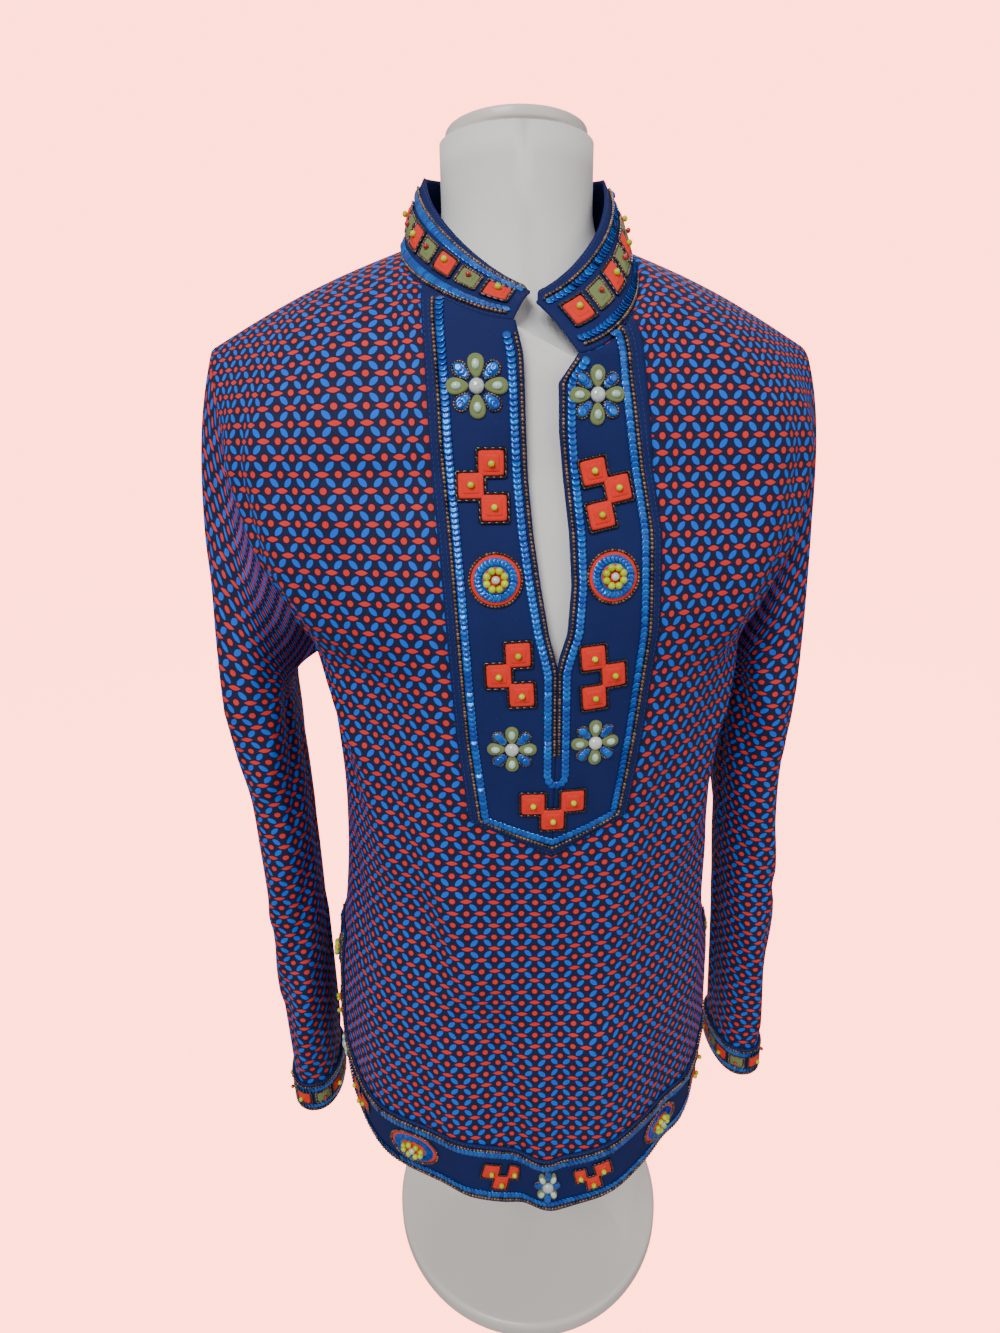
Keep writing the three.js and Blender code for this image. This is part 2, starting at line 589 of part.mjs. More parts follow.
// The placket: two halves beside the neck slit that join below it in a point.
function placket() {
  const YOKE_STEPS = [0.035, 0.2, 0.36, 0.52, 0.68, 0.84];
  const LEVELS = [CHEST_Z, -84, -93, -102, -111, -124, -136, -147, -158, -172, SLIT_BOTTOM_Z, -196, -208,
    -222, -236, -248, -262, -272];
  const POINT_STEPS = [0.35, 0.7, 1];
  const rows = [
    ...YOKE_STEPS.map((row) => ({ row, z: () => 0 })),
    ...LEVELS.map((z) => ({ row: 2, z: () => z })),
    ...POINT_STEPS.map((t) => ({
      row: 2,
      z: (part) => mix(LEVELS[LEVELS.length - 1], mix(PLACKET_TIP_Z, PLACKET_CORNER_Z, part), t),
    })),
  ];
  const parts = [0, 0.16, 0.33, 0.5, 0.67, 0.84, 1];
  const slitRow = rows.findIndex((line) => line.row > 1 && line.z(0) === SLIT_BOTTOM_Z);
  const points = [];
  const index = new Map();
  const vertex = (side, j, i) => {
    const key = `${j === 0 && i >= slitRow ? 0 : side}_${j}_${i}`;
    if (index.has(key)) return index.get(key);
    const z = rows[i].z(parts[j]);
    const guide = rows[i].row < 1 ? mix(frontEnd(side).footZ, CHEST_Z, rows[i].row) : z;
    const across = readStraight(PLACKET, guide, side < 0 ? 'left' : 'right');
    const outer = columnAcross(side, rows[i].row, z, across);
    const open = i < slitRow ? TRIM_EDGE / QUARTER : 0;
    const s = mix(open, outer, parts[j]);
    const made = { ...onPanel(-1, side, s, rows[i].row, z), relief: 0 };
    for (const motif of PLACKET_MOTIFS) {
      const d = Math.hypot(made.at.x - motif.x, made.at.z - motif.z);
      made.relief = Math.max(made.relief, bump(d, motif.size));
    }
    index.set(key, points.length);
    points.push(made);
    return points.length - 1;
  };
  const cells = [];
  for (const side of [-1, 1]) {
    for (let i = 0; i + 1 < rows.length; i += 1) {
      for (let j = 0; j + 1 < parts.length; j += 1) {
        const cell = [vertex(side, j, i), vertex(side, j, i + 1), vertex(side, j + 1, i + 1),
          vertex(side, j + 1, i)];
        cells.push(side < 0 ? cell.reverse() : cell);
      }
    }
  }
  return laidOn(wall(points, cells, TRIM_LIFT), panel(-1, SPACER_LIFT));
}

// The free edge of a panel in the flat: down one vent, round the hem, and up the other.
// Returns places {across, z} an even distance apart.
function freeEdge(steps) {
  const ventTop = VENT_Z - 1;
  const hem = [...HALF_COLUMNS.slice(1).reverse().map((s) => -s), ...HALF_COLUMNS]
    .map((s) => new THREE.Vector2(s * QUARTER, hemZ(Math.abs(s))));
  const raw = [new THREE.Vector2(-QUARTER, ventTop), ...hem, new THREE.Vector2(QUARTER, ventTop)];
  const travelled = [0];
  for (let k = 1; k < raw.length; k += 1) travelled.push(travelled[k - 1] + raw[k].distanceTo(raw[k - 1]));
  const total = travelled[travelled.length - 1];
  const places = [];
  for (let n = 0; n <= steps; n += 1) {
    const want = total * n / steps;
    const k = Math.min(raw.length - 1, Math.max(1, travelled.findIndex((d) => d >= want - 1e-6)));
    const t = (want - travelled[k - 1]) / (travelled[k] - travelled[k - 1]);
    places.push({ place: raw[k - 1].clone().lerp(raw[k], t), run: want, total });
  }
  return places;
}

const BAND_MOTIF_PITCH = 51;     // from one motif of the hem band to the next
const HEM_MOTIF = 13;            // radius of a motif

function hemBand(sign) {
  const steps = 62;
  const across = [0, 0.24, 0.5, 0.76, 1];
  const edge = freeEdge(steps);
  const points = [];
  edge.forEach(({ place, run, total }, n) => {
    const before = edge[Math.max(0, n - 1)].place;
    const after = edge[Math.min(steps, n + 1)].place;
    const inward = after.clone().sub(before).normalize();
    inward.set(-inward.y, inward.x);
    for (const part of across) {
      const flat = place.clone().addScaledVector(inward, mix(TRIM_EDGE, HEM_BAND, part));
      const side = flat.x < 0 ? -1 : 1;
      const s = Math.min(1, Math.abs(flat.x) / QUARTER);
      const count = Math.round((total - BAND_MOTIF_PITCH) / BAND_MOTIF_PITCH);
      const pitch = total / (count + 1);
      const off = Math.abs(((run / pitch) % 1) - 0.5) * pitch;
      points.push({
        ...onPanel(sign, side, s, 2, flat.y),
        relief: bump(Math.hypot(off, (part - 0.5) * HEM_BAND), HEM_MOTIF),
      });
    }
  });
  const cells = gridCells(steps + 1, across.length);
  return laidOn(wall(points, sign < 0 ? cells : turned(cells), TRIM_LIFT), panel(sign, SPACER_LIFT));
}

// The collar's run: left front end, round the back, right front end. u goes from 0 to 1.
function collarSeam(u) {
  const side = u < 0.5 ? -1 : 1;
  const fromEnd = Math.min(u, 1 - u) * 2;
  const FRONT_PART = 0.57;       // share of a half collar that lies on the front
  if (fromEnd <= FRONT_PART) {
    return { sign: -1, side, turn: RIGHT_ANGLE * fromEnd / FRONT_PART };
  }
  return { sign: 1, side, turn: RIGHT_ANGLE * (1 - fromEnd) / (1 - FRONT_PART) };
}

function collarTop({ sign, side, turn }) {
  const { half, lean, sideY, sideZ, backY, backZ } = COLLAR_TOP;
  const out = Math.sin(turn);
  const along = Math.cos(turn);
  if (sign > 0) {
    return v3((side * half + lean) * out, mix(sideY, backY, along), mix(sideZ, backZ, along));
  }
  const end = frontEnd(side);
  const climb = (1 - along) ** 0.75;
  return v3(mix(end.tipX, side * half + lean, out), mix(sideY, end.tipY, along), mix(end.tipZ, sideZ, climb));
}

function collar() {
  const columns = 65;
  const heights = [0, 0.18, 0.38, 0.62, 0.84, 1];
  const points = [];
  heights.forEach((height) => {
    for (let j = 0; j < columns; j += 1) {
      const u = j / (columns - 1);
      const place = collarSeam(u);
      const s = NECK_COLUMN * place.turn / RIGHT_ANGLE;
      const made = onPanel(place.sign, place.side, s, 0, 0);
      const below = onPanel(place.sign, place.side, s, YOKE[1], 0).at;
      const away = made.at.clone().sub(below);
      away.addScaledVector(made.normal, -away.dot(made.normal)).normalize();
      const foot = made.at.clone().addScaledVector(away, COLLAR_SEAM);
      if (height === 0) {
        points.push({ at: foot, normal: made.normal });
        continue;
      }
      const endRound = 1 - COLLAR_END_ROUND * (1 - smooth(Math.min(u, 1 - u) / 0.02)) * height;
      const at = foot.lerp(collarTop(place), height * endRound);
      const squares = ((u * COLLAR_SQUARES) % 1) - 0.5;
      const along = Math.abs(squares) * COLLAR_PITCH;
      const up = Math.abs(height - 0.5) * COLLAR_HEIGHT;
      points.push({
        at,
        relief: Math.min(bump(along, COLLAR_SQUARE / 2), bump(up, COLLAR_SQUARE / 2)),
        bulge: COLLAR_CROWN * Math.sin(Math.PI * height),
      });
    }
  });
  const pick = (i, j) => points[i * columns + j].at;
  for (let i = 1; i < heights.length; i += 1) {
    for (let j = 0; j < columns; j += 1) {
      const across = pick(i, Math.min(columns - 1, j + 1)).clone().sub(pick(i, Math.max(0, j - 1)));
      const up = pick(Math.min(heights.length - 1, i + 1), j).clone().sub(pick(i - 1, j));
      points[i * columns + j].normal = up.cross(across).normalize();
    }
  }
  for (const p of points) if (p.bulge) p.at.addScaledVector(p.normal, p.bulge);
  return wall(points, gridCells(heights.length, columns), [0, CLOTH]);
}

// The dress form: body rings inside the cloth, closed at the arms by plates, a neck, a
// flat top and a flat foot.
const FORM_FOOT_Z = -480;
const FORM_NECK = { x: -5, half: 48, frontY: -43, backY: 45, baseZ: 82, topZ: 114 };

const SHOULDER_INSET = 1.4;      // how far the form lies inside the cloth at the shoulder seams
const NECK_INSET = 5;            // and at the neck seam
const RIDGE_DROP = 0.45;         // its ridge below the shoulder seams
const NECK_DROP = 1.5;           // its neck root below the neck seam
const NECK_PULL = 3;             // and inward of it

const FORM_COLUMNS = HALF_COLUMNS.filter((s, j) => j % 2 === 0 || s === 1);

function formTorso() {
  const rows = [...YOKE.slice(1).map((row) => ({ row, z: CHEST_Z })),
    ...BODY_ROWS.filter((z) => z > FORM_FOOT_Z).map((z) => ({ row: 2, z })), { row: 2, z: FORM_FOOT_Z }];
  const columns = [];
  for (const sign of [-1, 1]) {
    [...FORM_COLUMNS].reverse().forEach((s) => columns.push({ sign, side: sign, s }));
    FORM_COLUMNS.slice(sign < 0 ? 0 : 1).forEach((s) => columns.push({ sign, side: -sign, s }));
  }
  const positions = [];
  const inside = (sign, side, s, row, z) => {
    const topInset = s > NECK_COLUMN ? SHOULDER_INSET : NECK_INSET;
    const inset = row < 1 ? mix(topInset, BODY[0].inset, row) : read(BODY, z, 'inset');
    const { at, normal } = onPanel(sign, side, s, row, z);
    if (s === 0 && (sign > 0 || z <= SLIT_BOTTOM_Z)) normal.setX(0).normalize();
    at.addScaledVector(normal, -inset);
    if (row > 1) at.z = z;
    if (s === 0 && z <= SLIT_BOTTOM_Z) at.x = 0;
    return at;
  };
  rows.forEach(({ row, z }) => columns.forEach(({ sign, side, s }) => {
    positions.push(inside(sign, side, s, row, z));
  }));
  const triangles = [];
  const quad = (a, b, c, d) => triangles.push([a, b, c], [a, c, d]);
  const n = columns.length;
  for (let i = 0; i + 1 < rows.length; i += 1) {
    for (let j = 0; j < n; j += 1) {
      const k = (j + 1) % n;
      quad(i * n + j, (i + 1) * n + j, (i + 1) * n + k, i * n + k);
    }
  }
  const foot = positions.length;
  positions.push(v3(0, 0, FORM_FOOT_Z));
  const lastRow = (rows.length - 1) * n;
  for (let j = 0; j < n; j += 1) triangles.push([foot, lastRow + (j + 1) % n, lastRow + j]);
  // Top row: the shoulder seams close front to back, and the neck rises from the neck hole.
  const ridge = columns.map(({ sign, side, s }) => {
    const top = topPoint(sign, side, s);
    if (s > NECK_COLUMN) return v3(top.x - side * 0.2, 0, top.z - RIDGE_DROP);
    if (sign < 0) top.x += slitShift(side, s, top.z);
    const middle = v3(0, 0, top.z);
    const pull = top.clone().sub(middle).normalize().multiplyScalar(-NECK_PULL);
    return top.add(pull).add(v3(0, 0, -NECK_DROP));
  });
  const ridgeStart = positions.length;
  ridge.forEach((point) => positions.push(point));
  for (let j = 0; j < n; j += 1) {
    const k = (j + 1) % n;
    quad(ridgeStart + j, j, k, ridgeStart + k);
  }
  const neckColumns = columns.map((column, j) => ({ ...column, j })).filter(({ s }) => s <= NECK_COLUMN);
  const { x, half, frontY, backY, baseZ, topZ } = FORM_NECK;
  const ring = ({ sign, side, s }, z) => {
    const turn = RIGHT_ANGLE * s / NECK_COLUMN;
    const y = (sign < 0 ? frontY : backY) * Math.cos(turn);
    return v3(x + side * half * Math.sin(turn), y, z);
  };
  let previous = neckColumns.map(({ j }) => ridgeStart + j);
  const levels = [0.2, 0.42, 0.68, 1, 2];
  for (const level of levels) {
    const current = neckColumns.map((column) => {
      const start = ridge[column.j];
      const end = ring(column, baseZ);
      const first = v3(mix(start.x, end.x, 0.5), mix(start.y, end.y, 0.5), start.z + 5);
      const second = v3(end.x, end.y, mix(start.z, baseZ, 0.4));
      const point = level > 1 ? ring(column, topZ)
        : new THREE.CubicBezierCurve3(start, first, second, end).getPoint(level);
      positions.push(point);
      return positions.length - 1;
    });
    for (let j = 0; j < current.length; j += 1) {
      const k = (j + 1) % current.length;
      quad(current[j], previous[j], previous[k], current[k]);
    }
    previous = current;
  }
  const cap = positions.length;
  positions.push(v3(x, 1, topZ));
  previous.forEach((from, j) => triangles.push([cap, from, previous[(j + 1) % previous.length]]));
  return solid(positions, triangles);
}

function disc(radius, thickness, edge, segments) {
  const profile = new THREE.Path();
  profile.moveTo(0, 0);
  profile.lineTo(radius - edge, 0);
  profile.absarc(radius - edge, edge, edge, -RIGHT_ANGLE, 0, false);
  profile.lineTo(radius, thickness - edge);
  profile.absarc(radius - edge, thickness - edge, edge, 0, RIGHT_ANGLE, false);
  profile.lineTo(0, thickness);
  return closed(new THREE.LatheGeometry(profile.getPoints(2), segments).rotateX(RIGHT_ANGLE));
}

const group = new THREE.Group();

function add(name, geometry, color, roughness, height = SHOULDER_Z, metalness = 0) {
  geometry.computeVertexNormals();
  const material = new THREE.MeshStandardMaterial({ color, roughness, metalness });
  const mesh = new THREE.Mesh(geometry, material);
  mesh.name = name;
  mesh.position.z = height;
  group.add(mesh);
  return mesh;
}

const PRINT = 0x2c3f86;
const NAVY = 0x1b2a60;
const COVER = 0xe9e6df;
const PAINT = 0xd9d6d0;

add('front', panel(-1), PRINT, 0.8);
add('back', panel(1), PRINT, 0.8);
for (const [name, side] of [['right', -1], ['left', 1]]) {
  add(`sleeve_${name}`, sleeve(side), PRINT, 0.8);
  add(`cuff_band_${name}`, cuffBand(side), NAVY, 0.85);
}
add('collar', collar(), NAVY, 0.85);
add('placket', placket(), NAVY, 0.85);
add('hem_band_front', hemBand(-1), NAVY, 0.85);
add('hem_band_back', hemBand(1), NAVY, 0.85);
add('form_torso', formTorso(), COVER, 0.9);
const cap = add('form_cap', disc(44, 7, 2, 24), PAINT, 0.5, SHOULDER_Z + FORM_NECK.topZ + SEAM);
cap.position.x = FORM_NECK.x;
const poleLength = SHOULDER_Z + FORM_FOOT_Z - BASE_THICK - 2 * SEAM;
const pole = new THREE.CylinderGeometry(POLE_RADIUS, POLE_RADIUS, poleLength, 24).rotateX(RIGHT_ANGLE);
add('form_pole', closed(pole), PAINT, 0.4, BASE_THICK + SEAM + poleLength / 2, 0.3);
add('form_base', disc(BASE_RADIUS, BASE_THICK, 3, 32), PAINT, 0.4, 0, 0.3);

export default group;
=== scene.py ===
"""The looks of an embellished tunic shirt on a dress form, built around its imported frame.

Cloth is worked out in garment millimetres: x across (wearer's left is +), y to the back, z up from
the shoulder tips. A piece is turned into metres in the row frame only when its mesh is made.
"""
import math

import bpy
import numpy as np
from mathutils import Matrix, Vector


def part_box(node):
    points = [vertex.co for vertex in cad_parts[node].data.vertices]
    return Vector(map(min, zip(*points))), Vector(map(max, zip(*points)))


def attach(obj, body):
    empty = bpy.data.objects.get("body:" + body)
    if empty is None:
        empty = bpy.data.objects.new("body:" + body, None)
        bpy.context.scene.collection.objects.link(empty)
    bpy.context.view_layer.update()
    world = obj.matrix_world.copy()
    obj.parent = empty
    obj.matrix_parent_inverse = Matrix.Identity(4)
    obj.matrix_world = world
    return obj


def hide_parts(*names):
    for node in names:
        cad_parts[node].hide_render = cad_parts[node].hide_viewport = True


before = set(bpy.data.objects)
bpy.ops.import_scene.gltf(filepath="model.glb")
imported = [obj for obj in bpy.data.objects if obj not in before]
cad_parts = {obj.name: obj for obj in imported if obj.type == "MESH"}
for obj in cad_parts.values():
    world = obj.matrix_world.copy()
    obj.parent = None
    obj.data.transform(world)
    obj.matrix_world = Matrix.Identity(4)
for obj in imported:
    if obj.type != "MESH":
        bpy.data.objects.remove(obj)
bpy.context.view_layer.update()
RNG = np.random.default_rng(11)

MM = 0.001
SHOULDER_Z = 780.0          # shoulder tips above the table
CLOTH = 1.5                 # outer face of the printed cloth above its inside face
SHEER = 0.8                 # what the thin shells of cloth really measure
TRIM = 1.2                  # navy bands
SEAM = 0.3
BAND_FACE = CLOTH + SEAM + TRIM
NECK_HALF, NECK_RISE, SHOULDER_HALF, SHOULDER_CROWN = 70.0, 57.0, 196.0, 4.0
LEAN = -6.0                 # the shoulders' middle lies this far across
NECK_BACK_Y, NECK_BACK_RISE = 62.0, 14.0    # the neck seam's middle at the back
CHEST_Z, SLIT_BOTTOM_Z, ARMPIT_Z = -75.0, -183.0, -200.0
VENT_Z, CORNER_Z, HEM_SIDE_Z, HEM_DIP, CORNER_RUN = -427.0, -505.0, -590.0, 22.0, 112.0
TAIL_Z = -497.0
QUARTER = 232.0             # flat width of half a panel
SLEEVE_TOP_Z, SLEEVE_END_Z = -235.0, -604.0
CUFF, HEM_BAND, COLLAR_HEIGHT = 29.0, 50.0, 45.0
NECK_COLUMN = 0.36          # column of a half panel that ends at the neck point
RIGHT_ANGLE = math.pi / 2


# ------------------------ sizes of the garment

def table(names, rows):
    """Rows of sizes as named columns."""
    return dict(zip(names.split(), np.array(rows, float).T))


BODY = table("z half lean front_edge front_depth back_edge back_depth inset", [
    (-75, 186, -5, -42, 112, 42, 92, 2.5), (-120, 175, -4, -49, 121, 47, 100, 3),
    (-160, 159, -2, -38, 127, 36, 102, 3.5), (-200, 148, 0, -0.15, 129, 0.15, 101, 5),
    (-250, 142, 0, -0.15, 129, 0.15, 97, 12), (-300, 140, 0, -0.15, 127, 0.15, 94, 18),
    (-350, 141, -1, -0.15, 125, 0.15, 98, 16), (-400, 144, -3, -0.15, 125, 0.15, 107, 12),
    (-427, 147, -4, -0.15, 126, 0.15, 112, 10), (-470, 151, -5, -2, 129, 6, 118, 10),
    (-520, 152, -6, -5, 132, 12, 124, 12), (-570, 148, -7, -8, 134, 15, 128, 12),
    (-620, 141, -8, -9, 136, 16, 130, 12),
])
SLIT = table("z left right", [
    (-183, 2.85, 3.15), (-164, -2, 9.5), (-136, -6.5, 12), (-108, -10, 11), (-81, -12, 8.5),
    (-54, -13, 6), (-29, -13.5, 6), (-15, -14, 17), (3, -18, 17),
])
SLIT_CENTRE = 3.0
SLIT_SPREAD = 0.36
CENTRE_SHIFT_END_Z = -400.0
SLEEVE = table("z right left cy hx hy", [
    (-235, 198.5, 179, -3, 20, 48), (-300, 193, 179, -3, 19.5, 42), (-370, 190.5, 183, -4, 19, 37.5),
    (-450, 189.5, 188, -5, 18.8, 35), (-530, 188.5, 190.5, -6, 18, 33.5),
    (-610, 187.5, 192.5, -7, 17, 32),
])
PLACKET = table("z left right", [
    (-284, 49, 49), (-230, 55, 57), (-165, 59, 64), (-110, 62, 64), (-60, 65, 56), (20, 66, 46),
])
PLACKET_TIP_Z, PLACKET_CORNER_Z, PLACKET_LAST_Z = -309.0, -284.0, -272.0
COLLAR_ENDS = table("side foot_y foot_z tip_x tip_y tip_z", [
    (-1, -100, 2, -3, -65, 24), (1, -105, -15, -5.5, -70, 20),
])
COLLAR_TOP = {"half": 55.0, "lean": -6.5, "side_y": -4.0, "side_z": 96.0, "back_y": 50.0, "back_z": 109.0}
COLLAR_SEAM = 0.7
COLLAR_END_ROUND = 0.15     # how much of the height its front corners lose
COLLAR_FRONT_PART = 0.57    # share of a half collar that lies on the front
FORM_FOOT_Z = -480.0
FORM_INSET_ARM, FORM_INSET_NECK = 1.4, 5.0  # how far the form lies inside the yoke
FORM_NECK = {"x": -5.0, "half": 48.0, "front_y": -43.0, "back_y": 45.0, "base_z": 82.0, "top_z": 114.0}

# Folds and creases, along a line on a cloth's flat: from (at, z0) to (to, z1); width is half
# the width, rise is positive for a ridge and negative for a trough.
FOLD = "at z0 to z1 width rise"
FRONT_FOLDS = table(FOLD, [
    # the large ones
    (-150, -185, -112, -345, 17, 5), (-118, -190, -78, -330, 14, -3),
    (158, -195, 122, -330, 15, 4), (-104, 5, -112, -110, 13, 3.5),
    (108, 5, 116, -100, 13, 2.5), (-52, -430, -22, -640, 20, -6),
    (48, -450, 70, -640, 24, 5), (-130, -400, -120, -600, 24, 4),
    # creases beside them
    (-192, -168, -128, -262, 9, 3.2), (-200, -196, -150, -300, 8, -2.6),
    (-170, -120, -118, -190, 10, 2.2), (-98, -60, -104, -168, 9, -1.6),
    (190, -172, 140, -250, 9, 2.6), (200, -205, 168, -300, 8, -2.2),
    (150, -90, 128, -170, 10, 1.6), (92, -30, 100, -150, 9, -1.4),
    (-170, -330, -140, -430, 12, -2.4), (-90, -300, -64, -420, 12, 1.8),
    (88, -310, 74, -430, 13, 1.6), (150, -340, 134, -470, 12, 2.2),
    (-82, -470, -70, -612, 12, 2.2), (10, -440, 18, -600, 13, -1.8),
    (104, -480, 112, -600, 12, -2.4), (-176, -440, -170, -520, 9, 1.6),
    (176, -440, 168, -530, 9, 1.8),
    # the hollows inside the armholes, and the drag from them
    (-140, -30, -150, -180, 11, 3.4), (-163, -45, -184, -200, 8, -2.2),
    (128, -40, 122, -190, 11, 3.0), (150, -55, 148, -205, 8, -2.2),
    (-79, 6, -70, -100, 5, -1.5), (76, -20, 74, -120, 5, -1.3),
    (-128, -225, -92, -400, 12, -3.4), (-102, -240, -62, -440, 14, 3.0),
    (98, -250, 84, -410, 11, -2.6), (66, -300, 44, -480, 14, 2.2),
    (-30, -330, -8, -470, 12, -1.6),
])
BACK_FOLDS = table(FOLD, [
    (-120, -180, -70, -350, 18, 4), (124, -175, 78, -340, 18, 4),
    (-40, -300, -62, -640, 24, 6), (52, -320, 66, -640, 26, 5), (6, -380, 2, -640, 20, -5),
    (-190, -170, -130, -270, 9, 2.8), (188, -165, 132, -262, 9, 2.6),
    (-160, -60, -110, -180, 11, 2.0), (158, -50, 116, -170, 11, 2.2),
    (-30, -120, -44, -290, 13, 1.6), (34, -140, 40, -280, 12, 1.4),
    (-150, -330, -132, -470, 13, -2.4), (150, -330, 128, -480, 13, -2.2),
    (-104, -430, -112, -612, 13, 2.4), (110, -440, 118, -612, 13, 2.6),
    (-2, -200, 4, -330, 16, -1.8),
])
# On a sleeve: at and to are shares of the way round (0 outermost, then the front), z as on
# the body; width is a share of the way round.
SLEEVE_FOLDS = table(FOLD, [
    (0.36, -215, 0.24, -300, 0.035, 3.2), (0.42, -235, 0.30, -345, 0.030, -2.6),
    (0.20, -120, 0.17, -290, 0.040, 2.4), (0.11, -140, 0.12, -330, 0.040, -1.8),
    (0.30, -330, 0.17, -420, 0.035, 2.6), (0.36, -365, 0.24, -452, 0.030, -2.2),
    (0.22, -430, 0.10, -500, 0.035, 2.2), (0.29, -455, 0.21, -590, 0.030, 3.0),
    (0.20, -470, 0.16, -590, 0.030, -2.2), (0.05, -330, 0.03, -560, 0.040, 1.8),
    (0.62, -215, 0.74, -310, 0.035, 2.8), (0.70, -330, 0.82, -430, 0.035, 2.4),
    (0.64, -350, 0.76, -450, 0.030, -2.0), (0.72, -450, 0.80, -585, 0.035, 2.4),
    (0.90, -120, 0.87, -320, 0.045, 1.8), (0.52, -260, 0.50, -380, 0.035, -2.2),
    (0.55, -420, 0.58, -560, 0.030, 2.0),
])


# ------------------------ arithmetic

def mix(a, b, t):
    return a + (b - a) * t


def smooth(t):
    t = np.clip(t, 0, 1)
    return t * t * (3 - 2 * t)


def points(*columns):
    return np.stack(np.broadcast_arrays(*columns), -1)


def unit(vectors):
    length = np.linalg.norm(vectors, axis=-1, keepdims=True)
    return vectors / np.maximum(length, 1e-12)


def run_across(at):
    """The distance run along each row of points."""
    step = np.linalg.norm(np.diff(at, axis=1), axis=-1)
    return np.concatenate([np.zeros((len(at), 1)), np.cumsum(step, axis=1)], axis=1)


def run_along(line):
    return run_across(line[None])[0]


def at_run(want, run, line):
    """A line's points at the wanted distances run."""
    return np.stack([np.interp(want, run, column) for column in np.transpose(line)], -1)


def polar(a, b, reach, turn):
    return a + reach * math.cos(turn), b + reach * math.sin(turn)


def rotated(outline, angle):
    c, s = math.cos(angle), math.sin(angle)
    return np.asarray(outline, float) @ np.array([[c, s], [-s, c]])


def ordered(source, column):
    order = np.argsort(source["z"])
    return source["z"][order], source[column][order]


def read(source, column, z):
    """A table's column by height: smooth, and with no overshoot between its rows."""
    x, y = ordered(source, column)
    step = np.diff(y) / np.diff(x)
    before, after = step[:-1], step[1:]
    same = before * after > 0
    slope = np.concatenate([step[:1], np.zeros(len(step) - 1), step[-1:]])
    slope[1:-1] = np.where(same, 2 * before * after / np.where(same, before + after, 1), 0)
    z = np.clip(z, x[0], x[-1])
    i = np.clip(np.searchsorted(x, z, side="right") - 1, 0, len(x) - 2)
    span = x[i + 1] - x[i]
    t = (z - x[i]) / span
    rising = (2 * t**3 - 3 * t**2 + 1) * y[i] + (t**3 - 2 * t**2 + t) * span * slope[i]
    return rising + (3 * t**2 - 2 * t**3) * y[i + 1] + (t**3 - t**2) * span * slope[i + 1]


def read_straight(source, column, z):
    return np.interp(z, *ordered(source, column))


def fold_rise(folds, across, z):
    """Height of all the folds of a cloth at a flat place, each fading out at its two ends."""
    total = np.zeros(np.broadcast(across, z).shape)
    for at, z0, to, z1, width, rise in zip(*folds.values()):
        along = (z - z0) / (z1 - z0)
        off = across - mix(at, to, along)
        fade = smooth(along * 4 + 0.5) * smooth((1 - along) * 4 + 0.5)
        total = total + rise * fade * np.exp(-((off / width) ** 2))
    return total


def bezier(a, b, c, d, t):
    t = np.asarray(t)[..., None]
    return (1 - t) ** 3 * a + 3 * t * (1 - t) ** 2 * b + 3 * t * t * (1 - t) * c + t**3 * d


# ------------------------ the panels' surface

def row_of(z):
    """A panel's continuous row: 0 at its top edge, 1 at the chest, then 1 for each 100 mm."""
    return 1 + (CHEST_Z - z) / 100


def body_point(sign, side, s, z):
    """A point of a panel's inside face below the chest, and the way out of the body."""
    name = "front" if sign < 0 else "back"
    half = read(BODY, "half", z)
    edge = read(BODY, name + "_edge", z)
    depth = read(BODY, name + "_depth", z)
    angle = RIGHT_ANGLE * (s - 0.06 * np.sin(2 * np.pi * s))
    x = side * half * np.sin(angle)
    y = edge + (sign * depth - edge) * np.maximum(0, np.cos(angle)) ** 0.9
    return points(x + read(BODY, "lean", z) * s, y, z), unit(points(x / half, y / depth, 0 * z))


def slit_shift(side, s, z):
    """How far the neck slit pushes the front aside."""
    edge = np.where(side < 0, read_straight(SLIT, "left", z), read_straight(SLIT, "right", z))
    fade = 1 - smooth((SLIT_BOTTOM_Z - z) / (SLIT_BOTTOM_Z - CENTRE_SHIFT_END_Z))
    return edge * fade * np.maximum(0, 1 - s / SLIT_SPREAD)


def collar_end(side, name):
    left, right = COLLAR_ENDS[name]
    return np.where(side < 0, left, right)


def top_point(sign, side, s):
    """The neck seam up to the neck column, then the shoulder seam."""
    turn = RIGHT_ANGLE * np.minimum(s / NECK_COLUMN, 1)
    if sign < 0:
        y = collar_end(side, "foot_y") * np.cos(turn)
        z = mix(collar_end(side, "foot_z"), NECK_RISE, (1 - np.cos(turn)) ** 0.85)
    else:
        y, z = NECK_BACK_Y * np.cos(turn), NECK_RISE + NECK_BACK_RISE * np.cos(turn)
    t = np.clip((s - NECK_COLUMN) / (1 - NECK_COLUMN), 0, 1)
    on_neck = s < NECK_COLUMN
    x = np.where(on_neck, (side * NECK_HALF + LEAN) * np.sin(turn),
                 side * mix(NECK_HALF, SHOULDER_HALF, t) + LEAN)
    y = np.where(on_neck, y, sign * SEAM / 2)
    z = np.where(on_neck, z, NECK_RISE * (1 - t) + SHOULDER_CROWN * np.sin(np.pi * t))
    return points(x, y, z)


